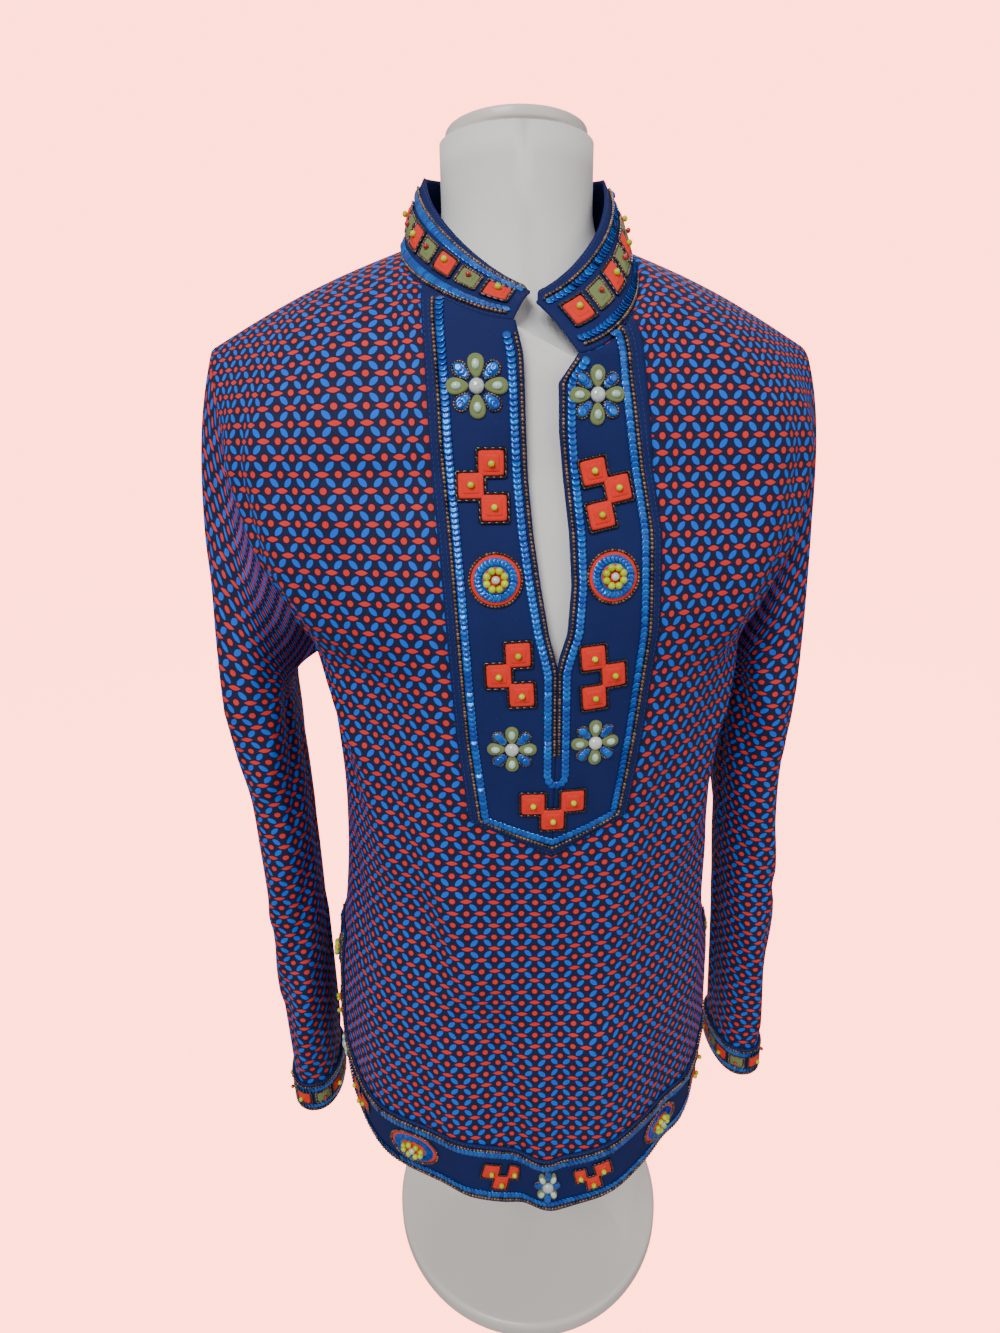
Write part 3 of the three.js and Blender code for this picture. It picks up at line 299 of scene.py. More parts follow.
def panel(sign, side, s, v, shifted=True):
    """A point of the front's (sign -1) or the back's (1) inside face, at column s from the
    centre (0) to the side (1) and row v."""
    side, s, v = np.broadcast_arrays(np.asarray(side, float), np.asarray(s, float),
                                     np.asarray(v, float))
    foot, out = body_point(sign, side, s, CHEST_Z - 100 * np.maximum(v - 1, 0))
    top = top_point(sign, side, s)
    row = np.clip(v, 0, 1)
    drop = top[..., 2] - foot[..., 2]
    first = points(top[..., 0], mix(top[..., 1], foot[..., 1], 0.55), top[..., 2] - 0.1 * drop)
    second = points(foot[..., 0], foot[..., 1], foot[..., 2] + 0.45 * drop)
    at = np.where((v < 1)[..., None], bezier(top, first, second, foot, row), foot)
    folds = FRONT_FOLDS if sign < 0 else BACK_FOLDS
    rise = fold_rise(folds, side * s * QUARTER, at[..., 2]) * smooth(row * 2) * smooth((1 - s) * 6)
    at = at + out * rise[..., None]
    if sign < 0 and shifted:
        at[..., 0] += slit_shift(side, s, at[..., 2])
    return at


def panel_normal(sign, side, s, v):
    ds, dv = 0.004, 0.012
    across = (panel(sign, side, np.minimum(s + ds, 1), v)
              - panel(sign, side, np.maximum(s - ds, 0), v))
    down = panel(sign, side, s, v + dv) - panel(sign, side, s, np.maximum(v - dv, 0))
    normal = unit(np.cross(across, down))
    return normal * np.asarray(side * sign, float)[..., None]


def front_column(side, v, across):
    """The column of a front half that lies a given distance across, at a row."""
    low = 0.0 * (v + across)
    high = low + 0.8
    for _ in range(26):
        middle = (low + high) / 2
        short = side * panel(-1, side, middle, v)[..., 0] < across
        low, high = np.where(short, middle, low), np.where(short, high, middle)
    return low


def front_place(x, z, lift=BAND_FACE):
    """The place on the front that is seen at x, z from straight ahead, lifted off its inside
    face, with the outward normal."""
    x, z = np.broadcast_arrays(np.asarray(x, float), np.asarray(z, float))
    slit_middle = (read_straight(SLIT, "left", z) + read_straight(SLIT, "right", z)) / 2
    middle = np.where(z > SLIT_BOTTOM_Z, slit_middle, SLIT_CENTRE)
    side = np.where(x < middle, -1.0, 1.0)
    s = np.clip(np.abs(x - middle) / 200, 0.001, 0.6)
    v = np.where(z < CHEST_Z, row_of(z), np.clip(1 - (z - CHEST_Z) / 110, 0.1, 1))
    ds, dv = 0.003, 0.005
    for _ in range(11):
        here = panel(-1, side, s, v)
        by_s = (panel(-1, side, s + ds, v) - here) / ds
        by_v = (panel(-1, side, s, v + dv) - here) / dv
        ex, ez = x - here[..., 0], z - here[..., 2]
        det = by_s[..., 0] * by_v[..., 2] - by_v[..., 0] * by_s[..., 2]
        det = np.where(np.abs(det) < 1e-3, 1e-3, det)
        s = np.clip(s + np.clip((ex * by_v[..., 2] - by_v[..., 0] * ez) / det, -0.08, 0.08), 0, 0.8)
        v = np.clip(v + np.clip((by_s[..., 0] * ez - ex * by_s[..., 2]) / det, -0.2, 0.2), 0, 7)
    normal = panel_normal(-1, side, s, v)
    return panel(-1, side, s, v) + normal * lift, normal


def hem_z(s):
    """The free edge's height at a column: a shallow dip, then a rounded corner."""
    start = 1 - CORNER_RUN / QUARTER
    t = np.clip((s - start) / (1 - start), 0, 1)
    dip = HEM_SIDE_Z - HEM_DIP * np.cos(RIGHT_ANGLE * np.minimum(s / start, 1)) ** 2
    return np.where(s <= start, dip, mix(CORNER_Z, HEM_SIDE_Z, np.sqrt(1 - t * t)))


# ------------------------ meshes

def grid_faces(rows, columns, flip=False):
    i, j = np.meshgrid(np.arange(rows - 1), np.arange(columns - 1), indexing="ij")
    a = (i * columns + j).ravel()
    quads = np.stack([a, a + columns, a + columns + 1, a + 1], -1)
    return quads[:, ::-1] if flip else quads


def vertex_normals(at, quads):
    a, b, c, d = (at[quads[:, k]] for k in range(4))
    face = np.cross(c - a, d - b)
    total = np.zeros_like(at)
    for k in range(4):
        np.add.at(total, quads[:, k], face)
    return unit(total)


def welded(at, quads, uv):
    """The same mesh with coincident points made one."""
    _, first, back = np.unique(np.round(at / 0.02).astype(np.int64), axis=0, return_index=True,
                               return_inverse=True)
    return at[first], back.reshape(-1)[quads], uv[first]


def shell(at, quads, uv, outer, inner):
    """A thin wall from a sheet: its outer and inner faces joined round every free edge."""
    count = len(at)
    normal = vertex_normals(at, quads)
    both = np.concatenate([at + normal * np.reshape(lift, (-1, 1)) for lift in (outer, inner)])
    edges = np.concatenate([quads[:, [k, (k + 1) % 4]] for k in range(4)])
    key = np.sort(edges, axis=1)
    _, back, uses = np.unique(key, axis=0, return_inverse=True, return_counts=True)
    free = edges[uses[back.reshape(-1)] == 1]
    rim = np.stack([free[:, 1], free[:, 0], free[:, 0] + count, free[:, 1] + count], -1)
    faces = np.concatenate([quads, quads[:, ::-1] + count, rim])
    return both, faces, np.concatenate([uv, uv])


def make(name, at, faces, material, slot, uv=None, tone=None, replaces=()):
    """A piece of the scene from garment millimetres."""
    placed = (at + np.array([0, 0, SHOULDER_Z])) * MM
    mesh = bpy.data.meshes.new(name)
    mesh.from_pydata(placed.tolist(), [], [list(face) for face in faces])
    mesh.polygons.foreach_set("use_smooth", [True] * len(mesh.polygons))
    corners = np.zeros(len(mesh.loops), np.int64)
    mesh.loops.foreach_get("vertex_index", corners)
    if uv is not None:
        layer = mesh.uv_layers.new(name="cloth")
        layer.data.foreach_set("uv", uv[corners].ravel().astype(np.float32))
    if tone is not None:
        layer = mesh.attributes.new("tone", "FLOAT", "POINT")
        layer.data.foreach_set("value", tone.astype(np.float32))
    mesh.materials.append(material)
    mesh.update()
    piece = bpy.data.objects.new(name, mesh)
    bpy.context.scene.collection.objects.link(piece)
    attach(piece, "root")
    if replaces:
        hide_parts(*replaces)
    return piece


# ------------------------ materials

class Value:
    """A number that a material's nodes work out. Arithmetic on it adds nodes."""

    def __init__(self, shader, socket):
        self.shader, self.socket = shader, socket

    def by(self, operation, *others):
        return self.shader.math(operation, self, *others)

    def __abs__(self):
        return self.by("ABSOLUTE")

    def __add__(self, other):
        return self.by("ADD", other)

    def __sub__(self, other):
        return self.by("SUBTRACT", other)

    def __mul__(self, other):
        return self.by("MULTIPLY", other)

    def __truediv__(self, other):
        return self.by("DIVIDE", other)

    def __pow__(self, other):
        return self.by("POWER", other)

    def __mod__(self, other):
        return self.by("FLOORED_MODULO", other)

    def __gt__(self, other):
        return self.by("GREATER_THAN", other)


class Shader:
    """A node material."""

    def __init__(self, name):
        self.material = bpy.data.materials.new(name)
        self.material.use_nodes = True
        self.tree = self.material.node_tree
        self.surface = self.tree.nodes["Principled BSDF"]

    def node(self, kind, **settings):
        made = self.tree.nodes.new(kind)
        for key, value in settings.items():
            setattr(made, key, value)
        return made

    def feed(self, socket, value):
        value = value.socket if isinstance(value, Value) else value
        if isinstance(value, bpy.types.NodeSocket):
            self.tree.links.new(value, socket)
        else:
            socket.default_value = value

    def math(self, operation, *values):
        made = self.node("ShaderNodeMath", operation=operation)
        for k, value in enumerate(values):
            self.feed(made.inputs[k], value)
        return Value(self, made.outputs[0])

    def below(self, value, edge, soft):
        """1 where value is under edge, 0 over it, with a soft step."""
        made = self.node("ShaderNodeMapRange", interpolation_type="SMOOTHSTEP")
        for k, item in enumerate((value, edge - soft, edge + soft, 1.0, 0.0)):
            self.feed(made.inputs[k], item)
        return made.outputs[0]

    def mixed(self, share, a, b):
        made = self.node("ShaderNodeMix", data_type="RGBA")
        self.feed(made.inputs[0], share)
        self.feed(made.inputs[6], a)
        self.feed(made.inputs[7], b)
        return made.outputs[2]

    def noise(self, scale, detail=3.0, roughness=0.55, stretch=(1, 1, 1)):
        coordinates = self.node("ShaderNodeTexCoord").outputs["Object"]
        mapping = self.node("ShaderNodeMapping")
        self.feed(mapping.inputs["Vector"], coordinates)
        mapping.inputs["Scale"].default_value = stretch
        made = self.node("ShaderNodeTexNoise")
        self.feed(made.inputs["Vector"], mapping.outputs[0])
        made.inputs["Scale"].default_value = scale
        made.inputs["Detail"].default_value = detail
        made.inputs["Roughness"].default_value = roughness
        return made.outputs["Fac"]

    def bump(self, height, strength, distance):
        made = self.node("ShaderNodeBump")
        made.inputs["Strength"].default_value = strength
        made.inputs["Distance"].default_value = distance
        self.feed(made.inputs["Height"], height)
        self.feed(self.surface.inputs["Normal"], made.outputs[0])

    def finish(self, **sockets):
        for name, value in sockets.items():
            self.feed(self.surface.inputs[name.replace("_", " ")], value)
        return self.material


def colour(*rgb):
    return (*rgb, 1.0)


def weave_height(shader):
    """Fine threads both ways with slubs, as the height of a woven cloth."""
    one = shader.noise(900, 2, 0.6, (1, 1, 0.25))
    other = shader.noise(900, 2, 0.6, (0.25, 0.25, 1))
    return shader.math("ADD", one, other)


PRINT_CELL = 9.0            # the print's grid in millimetres; its repeat is two cells


def print_cloth():
    """Navy cotton printed with coral ovals and dots on a grid and blue leaves between them."""
    shader = Shader("print_cloth")
    place = shader.node("ShaderNodeUVMap", uv_map="cloth").outputs[0]
    split = shader.node("ShaderNodeSeparateXYZ")
    shader.feed(split.inputs[0], place)
    u, v = (Value(shader, split.outputs[k]) for k in (0, 1))
    near_u, near_v = u.by("ROUND"), v.by("ROUND")
    du, dv = (u - near_u) * PRINT_CELL, (v - near_v) * PRINT_CELL
    oval = abs(dv) / 1.62 + (abs(du) / 4.05) ** 1.7
    dot = (du * du + dv * dv).by("SQRT") / 1.95
    red = oval + (dot - oval) * ((near_u + near_v) % 2.0 > 0.5)
    low_u, low_v = u.by("FLOOR"), v.by("FLOOR")
    lean = (low_u + low_v) % 2.0 * -2.0 + 1.0
    cu, cv = ((at - low - 0.5) * PRINT_CELL * math.sqrt(0.5) for at, low in ((u, low_u), (v, low_v)))
    leaf = (abs(cu - cv * lean) / 1.78) ** 1.5 + (abs(cu + cv * lean) / 3.3) ** 2.0
    cloud = shader.noise(60, 3)
    ground = shader.mixed(cloud, colour(0.0085, 0.012, 0.052), colour(0.013, 0.020, 0.080))
    leaf_tone = shader.mixed(cloud, colour(0.0, 0.115, 0.84), colour(0.003, 0.175, 1.0))
    red_tone = shader.mixed(cloud, colour(0.68, 0.034, 0.036), colour(0.86, 0.058, 0.050))
    base = shader.mixed(shader.below(leaf, 1.0, 0.1), ground, leaf_tone)
    base = shader.mixed(shader.below(red, 1.36, 0.1), base, colour(0.035, 0.006, 0.022))
    base = shader.mixed(shader.below(red, 1.0, 0.1), base, red_tone)
    weave = weave_height(shader)
    shader.bump(weave, 0.3, 0.00025)
    return shader.finish(Base_Color=base, Roughness=weave * 0.08 + 0.66, Sheen_Weight=0.02,
                         Sheen_Roughness=0.5, Specular_IOR_Level=0.22)


def plain_cloth(name, dark, light, sheen=0.08, roughness=0.82):
    shader = Shader(name)
    cloud = shader.noise(45, 4)
    lint = shader.below(shader.noise(420, 2, 0.7), 0.30, 0.03)
    base = shader.mixed(cloud, colour(*dark), colour(*light))
    lint_tone = colour(*(min(1, c * 1.9 + 0.01) for c in light))
    base = shader.mixed(shader.math("MULTIPLY", lint, 0.25), base, lint_tone)
    weave = weave_height(shader)
    shader.bump(weave, 0.4, 0.0003)
    return shader.finish(Base_Color=base, Roughness=roughness, Sheen_Weight=sheen, Sheen_Roughness=0.4,
                         Specular_IOR_Level=0.25)


def felt(name, dark, light):
    """Stuffed felt, fuzzy."""
    shader = Shader(name)
    fuzz = shader.noise(1500, 3, 0.7)
    base = shader.mixed(fuzz, colour(*dark), colour(*light))
    shader.bump(fuzz, 0.55, 0.0004)
    return shader.finish(Base_Color=base, Roughness=0.9, Sheen_Weight=0.03, Sheen_Roughness=0.5)


def glossy(name, dark, light, roughness=0.16, metallic=0.0, coat=0.6):
    """Beads and sequins: each has its own tone between two colours."""
    shader = Shader(name)
    tone = shader.node("ShaderNodeAttribute", attribute_name="tone").outputs["Fac"]
    speck = shader.noise(700, 2)
    clean = shader.mixed(tone, colour(*dark), colour(*light))
    specked = shader.mixed(tone, colour(*(c * 0.82 for c in dark)), colour(*(c * 0.9 for c in light)))
    base = shader.mixed(shader.below(speck, 0.42, 0.1), clean, specked)
    return shader.finish(Base_Color=base, Roughness=roughness, Metallic=metallic, Coat_Weight=coat,
                         Coat_Roughness=0.08)


def painted_steel():
    shader = Shader("painted_steel_look")
    orange_peel = shader.noise(260, 3)
    shader.bump(orange_peel, 0.08, 0.0004)
    base = shader.mixed(shader.noise(9, 3), colour(0.76, 0.74, 0.71), colour(0.84, 0.82, 0.79))
    return shader.finish(Base_Color=base, Roughness=0.36, Coat_Weight=0.3)


PRINT = print_cloth()
NAVY = plain_cloth("navy_cloth", (0.006, 0.0125, 0.088), (0.0105, 0.022, 0.140), 0.0)
COVER = plain_cloth("form_cover", (0.80, 0.83, 0.84), (0.90, 0.92, 0.92), 0.05, 0.9)
STEEL = painted_steel()
LOOKS = {name: kind(name, *tones) for kind, name, *tones in (
    (felt, "red_felt", (0.72, 0.018, 0.010), (0.98, 0.046, 0.024)),
    (felt, "sage_felt", (0.13, 0.18, 0.06), (0.25, 0.32, 0.13)),
    (glossy, "blue_sequin", (0.0, 0.07, 0.52), (0.0, 0.21, 0.85), 0.3, 0.35, 0.5),
    (glossy, "brown_bead", (0.03, 0.012, 0.008), (0.30, 0.17, 0.09), 0.22, 0.45, 0.6),
    (glossy, "black_bead", (0.003, 0.003, 0.005), (0.012, 0.01, 0.014), 0.2, 0.0, 0.5),
    (glossy, "bright_bead", (0.50, 0.66, 0.0), (0.70, 0.86, 0.03), 0.25, 0.0, 0.35),
    (glossy, "red_bead", (0.45, 0.01, 0.01), (0.7, 0.03, 0.025), 0.2, 0.0, 0.6),
    (glossy, "pearl_bead", (0.62, 0.72, 0.74), (0.85, 0.88, 0.9), 0.16, 0.1, 0.9),
    (glossy, "mint_stone", (0.42, 0.68, 0.56), (0.62, 0.86, 0.76), 0.14, 0.0, 0.9),
    (plain_cloth, "thread", (0.022, 0.034, 0.13), (0.045, 0.07, 0.22), 0.1, 0.7),
)}
SLOTS = {"red_bead": "bright_bead", "mint_stone": "pearl_bead"}


# ------------------------ small things sewn on

def turned(profile, sides, axis):
    """A solid of revolution from (place along the axis, radius) pairs, as points, quads and
    triangles. axis 0 lies along the row, axis 2 stands off the cloth."""
    rings, at, quads, tris = [], [], [], []
    for t, r in profile:
        if r == 0:
            rings.append([len(at)])
            at.append((t, 0, 0))
            continue
        rings.append(list(range(len(at), len(at) + sides)))
        at += [(t, *polar(0, 0, r, 2 * math.pi * k / sides)) for k in range(sides)]
    for low, high in zip(rings, rings[1:]):
        for k in range(sides):
            n = (k + 1) % sides
            if len(low) == 1:
                tris.append((low[0], high[n], high[k]))
            elif len(high) == 1:
                tris.append((low[k], low[n], high[0]))
            else:
                quads.append((low[k], low[n], high[n], high[k]))
    at = np.array(at, float)
    if axis == 2:
        at = at[:, [1, 2, 0]]
    return at, np.array(quads, np.int64).reshape(-1, 4), np.array(tris, np.int64).reshape(-1, 3)


BARREL = turned([(-0.5, 0), (-0.46, 0.3), (-0.2, 0.5), (0.2, 0.5), (0.46, 0.3), (0.5, 0)], 7, 0)
BUGLE = turned([(-0.5, 0), (-0.5, 0.42), (-0.42, 0.5), (0.42, 0.5), (0.5, 0.42), (0.5, 0)], 6, 0)
BALL = turned([(0, 0), (0.07, 0.26), (0.27, 0.45), (0.5, 0.5), (0.73, 0.45), (0.92, 0.27), (1, 0)], 12, 2)
STONE = turned([(-0.1, 0), (-0.1, 0.5), (0.1, 0.5), (0.3, 0.42), (0.42, 0.24), (0.46, 0)], 14, 2)
SEQUIN = turned([(-0.07, 0), (-0.06, 0.2), (0.0, 0.5), (0.03, 0.5), (-0.03, 0.2), (-0.035, 0)], 10, 2)
STITCH = turned([(-0.5, 0), (-0.35, 0.5), (0.35, 0.5), (0.5, 0)], 5, 0)


def charted(place, a_values, b_values):
    """The same place function read from a chart of it, which is much quicker."""
    at, normal = place(*np.meshgrid(a_values, b_values, indexing="ij"))
    both = np.concatenate([at, normal], -1)
    step_a, step_b = a_values[1] - a_values[0], b_values[1] - b_values[0]

    def quick_place(a, b):
        i = np.clip((np.asarray(a, float) - a_values[0]) / step_a, 0, len(a_values) - 1.001)
        j = np.clip((np.asarray(b, float) - b_values[0]) / step_b, 0, len(b_values) - 1.001)
        i0, j0 = i.astype(int), j.astype(int)
        u, v = (i - i0)[..., None], (j - j0)[..., None]
        low = mix(both[i0, j0], both[i0 + 1, j0], u)
        high = mix(both[i0, j0 + 1], both[i0 + 1, j0 + 1], u)
        found = mix(low, high, v)
        return found[..., :3], unit(found[..., 3:])

    return quick_place


# A felt patch's rings from the middle out: share of its outline, share of its height.
PAD_RINGS = [(0.35, 1.0), (0.62, 1.0), (0.84, 0.97), (0.95, 0.8), (1.0, 0.45), (1.0, -0.15)]


class Trim:
    """What is sewn on one band. place(a, b) gives points and normals of the band's face."""

    def __init__(self, name, place):
        self.name, self.place, self.bags = name, place, {}

    def add(self, bag, at, quads, tris, tone):
        self.bags.setdefault(bag, []).append((at, quads, tris, tone))

    def put(self, bag, template, at, along, normal, size, lift=0.0, tilt=0.0):
        """Copies of a template at places; tilt leans each one over its row, in radians."""
        local, quads, tris = template
        n = len(at)
        along = unit(along - normal * np.sum(along * normal, -1, keepdims=True))
        lean = np.broadcast_to(np.reshape(tilt, (-1, 1)), (n, 1))
        x = along * np.cos(lean) + normal * np.sin(lean)
        z = normal * np.cos(lean) - along * np.sin(lean)
        y = np.cross(z, x)
        size = np.broadcast_to(np.asarray(size, float), (n, 3))
        centre = at + normal * np.reshape(lift, (-1, 1))
        spot = local[None] * size[:, None]
        made = centre[:, None] + sum(spot[..., k:k + 1] * way[:, None] for k, way in enumerate((x, y, z)))
        offset = (np.arange(n) * len(local))[:, None, None]
        tone = np.repeat(RNG.random(n), len(local))
        self.add(bag, made.reshape(-1, 3), (quads[None] + offset).reshape(-1, 4),
                 (tris[None] + offset).reshape(-1, 3), tone)

    def row(self, path, pitch):
        """Places an even pitch apart along a path of (a, b) corners, with their directions."""
        path = np.asarray(path, float)
        steps = run_along(path)
        fine = at_run(np.linspace(0, steps[-1], max(4, int(steps[-1]))), steps, path)
        run = run_along(self.place(*fine.T)[0])
        count = max(1, round(run[-1] / pitch))
        want = (np.arange(count) + 0.5) * run[-1] / count
        at, normal = self.place(*at_run(want, run, fine).T)
        ahead, behind = (self.place(*at_run(want + step, run, fine).T)[0] for step in (0.4, -0.4))
        return at, unit(ahead - behind), normal

    def beads(self, path, size=2.3):
        at, along, normal = self.row(path, size * 1.04)
        jitter = 1 + RNG.uniform(-0.08, 0.08, (len(at), 1))
        sizes = jitter * (size, size * 0.86, size * 0.86)
        self.put("brown_bead", BARREL, at, along, normal, sizes, 0.38 * size)

    def bugles(self, path, length, thick=1.7):
        at, along, normal = self.row(path, length * 1.05)
        self.put("black_bead", BUGLE, at, along, normal, (length, thick, thick), 0.45 * thick)

    def sequins(self, path, size=4.9, pitch=3.1, lift=0.75):
        at, along, normal = self.row(path, pitch)
        tilt = 0.24 + RNG.normal(0, 0.07, len(at))
        loose = RNG.random(len(at)) < 0.04
        tilt = np.where(loose, tilt + 0.3, tilt)
        self.put("blue_sequin", SEQUIN, at, along, normal, (size, size, size), lift + 0.4 * loose, tilt)

    def stitches(self, path, pitch=3.0):
        at, along, normal = self.row(path, pitch)
        self.put("thread", STITCH, at, along, normal, (pitch * 0.68, 0.5, 0.42), 0.1)

    def rows(self, start, end, beads=(), sequins=(), stitches=(), bead=2.3, sequin=4.9, pitch=3.1):
        """Straight rows of each kind from start to end, at distances in from the band's edge."""
        for b in beads:
            self.beads([(start, b), (end, b)], bead)
        for b in sequins:
            self.sequins([(start, b), (end, b)], sequin, pitch)
        for b in stitches:
            self.stitches([(start, b), (end, b)])

    def one(self, bag, template, a, b, size, lift=0.0, angle=0.0):
        """A single thing, its x axis turned by angle from the a direction."""
        at, normal = self.place(*np.transpose([(a, b), polar(a, b, 0.5, angle)]))
        self.put(bag, template, at[:1], at[1:] - at[:1], normal[:1], size, lift)

    def pad(self, bag, a, b, outline, height, angle=0.0):
        """A raised, closed, soft-edged patch with a given outline round (a, b)."""
        outline = rotated(outline, angle)
        n = len(outline)
        flat = np.concatenate([outline * share for share, _ in PAD_RINGS] + [np.zeros((2, 2))])
        rise = [height * level for _, level in PAD_RINGS for _ in range(n)] + [height, -0.15 * height]
        at, normal = self.place(a + flat[:, 0], b + flat[:, 1])
        at = at + normal * np.array(rise)[:, None]
        k = np.arange(n)
        nxt = (k + 1) % n
        last, top = n * (len(PAD_RINGS) - 1), n * len(PAD_RINGS)
        quads = np.concatenate([np.stack([i + k, i + n + k, i + n + nxt, i + nxt], -1)
                                for i in range(0, last, n)])
        tris = np.concatenate([np.stack([np.full(n, top), k, nxt], -1),
                               np.stack([np.full(n, top + 1), last + nxt, last + k], -1)])
        self.add(bag, at, quads, tris, np.full(len(at), RNG.random()))

    def finish(self):
        """The joined meshes, one for each material."""
        made = []
        for bag, items in self.bags.items():
            start, at, faces, tone = 0, [], [], []
            for where, quads, tris, shade in items:
                at.append(where)
                faces += (quads + start).tolist() + (tris + start).tolist()
                tone.append(shade)
                start += len(where)
            made.append(make(f"{self.name}_{bag}", np.concatenate(at), faces, LOOKS[bag],
                             SLOTS.get(bag, bag), tone=np.concatenate(tone)))
        return made


def square_outline(half, per_side=6, rounding=0.05):
    t = np.linspace(-1, 1, per_side, endpoint=False)
    side = np.stack([t * half, np.full(per_side, -half)], -1)
    ring = np.concatenate([rotated(side, k * RIGHT_ANGLE) for k in range(4)])
    radius = np.linalg.norm(ring, axis=1, keepdims=True)
    return ring * (1 - rounding * smooth((radius / half - 1.2) / 0.2))


def drop_outline(length, width, count=18, point=0.45):
    """A petal along +x, narrow at its inner end."""
    angle = np.linspace(0, 2 * np.pi, count, endpoint=False)
    x = np.cos(angle)
    return np.stack([x * length / 2, np.sin(angle) * width / 2 * (1 + point * (x - 1) / 2)], -1)


def circle_outline(radius, count=28):
    angle = np.linspace(0, 2 * np.pi, count, endpoint=False)
    return np.stack([np.cos(angle), np.sin(angle)], -1) * radius


def ring_path(a, b, outline, angle=0.0):
    """An outline round (a, b), closed."""
    ring = rotated(outline, angle)
    return np.concatenate([ring, ring[:1]]) + (a, b)


FELT = 1.5                  # height of the stuffed felt


def box_path(a, b, half, angle=0.0):
    return ring_path(a, b, np.array([(-1, -1), (1, -1), (1, 1), (-1, 1)], float) * half, angle)


def felt_square(trim, a, b, size, angle=0.0, extra=0.0):
    """A stuffed red felt square with a yellow bead on it."""
    half = size / 2
    trim.pad("red_felt", a, b, square_outline(half - 0.5), FELT + extra, angle)
    trim.pad("red_felt", a, b, square_outline(half - 2.8), FELT + 0.5 + extra, angle)
    trim.one("bright_bead", BALL, a, b, (3.7, 3.7, 3.5), FELT)


def red_square(trim, a, b, size, angle=0.0):
    """A red felt square edged with black bugle beads."""
    felt_square(trim, a, b, size, angle)
    edge = box_path(a, b, size / 2 + 0.5, angle)
    for start, end in zip(edge, edge[1:]):
        trim.bugles([start, end], size / 4)


def sage_square(trim, a, b, size, angle=0.0):
    """A sage felt square edged with bronze seed beads, a red bead on it."""
    half = size / 2
    trim.pad("sage_felt", a, b, square_outline(half - 1.1), FELT * 0.85, angle)
    trim.pad("sage_felt", a, b, square_outline(half - 3.4), FELT * 0.85 + 0.4, angle)
    trim.beads(box_path(a, b, half - 0.3, angle), 1.9)
    trim.one("red_bead", BALL, a, b, (3.2, 3.2, 3.0), FELT * 0.9)


def flower(trim, a, b, size=34.0, angle=0.0):
    """Four sage petals with mint stones, four beaded drops of sequins, a pearl between."""
    reach = size / 2
    petal = drop_outline(0.76 * reach, 0.66 * reach, 20, 0.45)
    leaf = drop_outline(0.64 * reach, 0.58 * reach, 18, 0.5)
    for k in range(4):
        turn = angle + k * RIGHT_ANGLE
        trim.pad("sage_felt", *polar(a, b, 0.62 * reach, turn), petal, FELT, turn)
        stone = polar(a, b, 0.651 * reach, turn)
        trim.one("mint_stone", STONE, *stone, (5.6, 4.3, 4.2), FELT * 0.9, turn)
        turn += RIGHT_ANGLE / 2
        centre = polar(a, b, 0.66 * reach, turn)
        trim.pad("blue_sequin", *centre, leaf * 0.86, 0.8, turn)
        trim.beads(ring_path(*centre, leaf, turn), 1.5)
        for shift in (-0.13, 0.0, 0.13):
            spot = polar(a, b, (0.66 + shift) * reach, turn)
            trim.one("blue_sequin", SEQUIN, *spot, (5.4, 4.6, 4.4), 1.3 + 2 * shift, turn + shift)
    trim.one("pearl_bead", STONE, a, b, (8.4, 8.4, 7.0), FELT * 0.55)


def medallion(trim, a, b, size=30.0):
    """Rings of bronze beads, red felt and sequins round eight bright beads."""
    reach = size / 2
    trim.pad("red_felt", a, b, circle_outline(reach - 0.9), 0.9)
    trim.beads(ring_path(a, b, circle_outline(reach - 0.3)), 2.0)
    trim.pad("blue_sequin", a, b, circle_outline(reach * 0.83), 1.3)
    trim.sequins(ring_path(a, b, circle_outline(reach * 0.66, 48)), 4.7, 2.3, 1.5)
    trim.pad("red_felt", a, b, circle_outline(reach * 0.48), 2.1)
    for k in range(8):
        spot = polar(a, b, 0.35 * reach, (k + 0.5) * RIGHT_ANGLE / 2)
        trim.one("bright_bead", BALL, *spot, (4.3, 4.3, 4.0), 1.5)
    trim.one("pearl_bead", BALL, a, b, (4.8, 4.8, 4.2), 1.7)


STEP_SQUARE = 15.0
STEP_UP = (11.3, 11.9)      # from the middle square to the upper one
STEP_DOWN = (12.3, -12.0)   # and to the lower one
STEP_LIFT = 0.06            # each square laid on lies this much higher


def step_motif(trim, a, b, facing, angle=0.0, scale=1.0):
    """Three red squares in steps, their corners overlapping, with one beaded edge round them
    all and a notch that opens to one side."""
    c, s = math.cos(angle), math.sin(angle)
    size = scale * STEP_SQUARE
    up, down = (tuple(scale * step for step in steps) for steps in (STEP_UP, STEP_DOWN))

    def spot(x, y):
        return a + facing * x * c - y * s, b + facing * x * s + y * c

    for k, centre in enumerate(((0, 0), up, down)):
        felt_square(trim, *spot(*centre), size, angle, k * STEP_LIFT)
    edge = size / 2 + 0.4
    low, high = down[1] - edge, up[1] + edge
    corners = [(-edge, -edge), (down[0] - edge, -edge), (down[0] - edge, low), (down[0] + edge, low),
               (down[0] + edge, down[1] + edge), (edge, down[1] + edge), (edge, up[1] - edge),
               (up[0] + edge, up[1] - edge), (up[0] + edge, high), (up[0] - edge, high),
               (up[0] - edge, edge), (-edge, edge), (-edge, -edge)]
    for start, end in zip(corners, corners[1:]):
        trim.bugles([spot(*start), spot(*end)], 3.6 * scale)


# ------------------------ front and back

def levels(*stops, step=4.5):
    """Heights from stop to stop, with every stop among them."""
    runs = [np.linspace(a, b, max(2, round(abs(b - a) / step) + 1))[1:]
            for a, b in zip(stops, stops[1:])]
    return np.concatenate([[stops[0]], *runs])


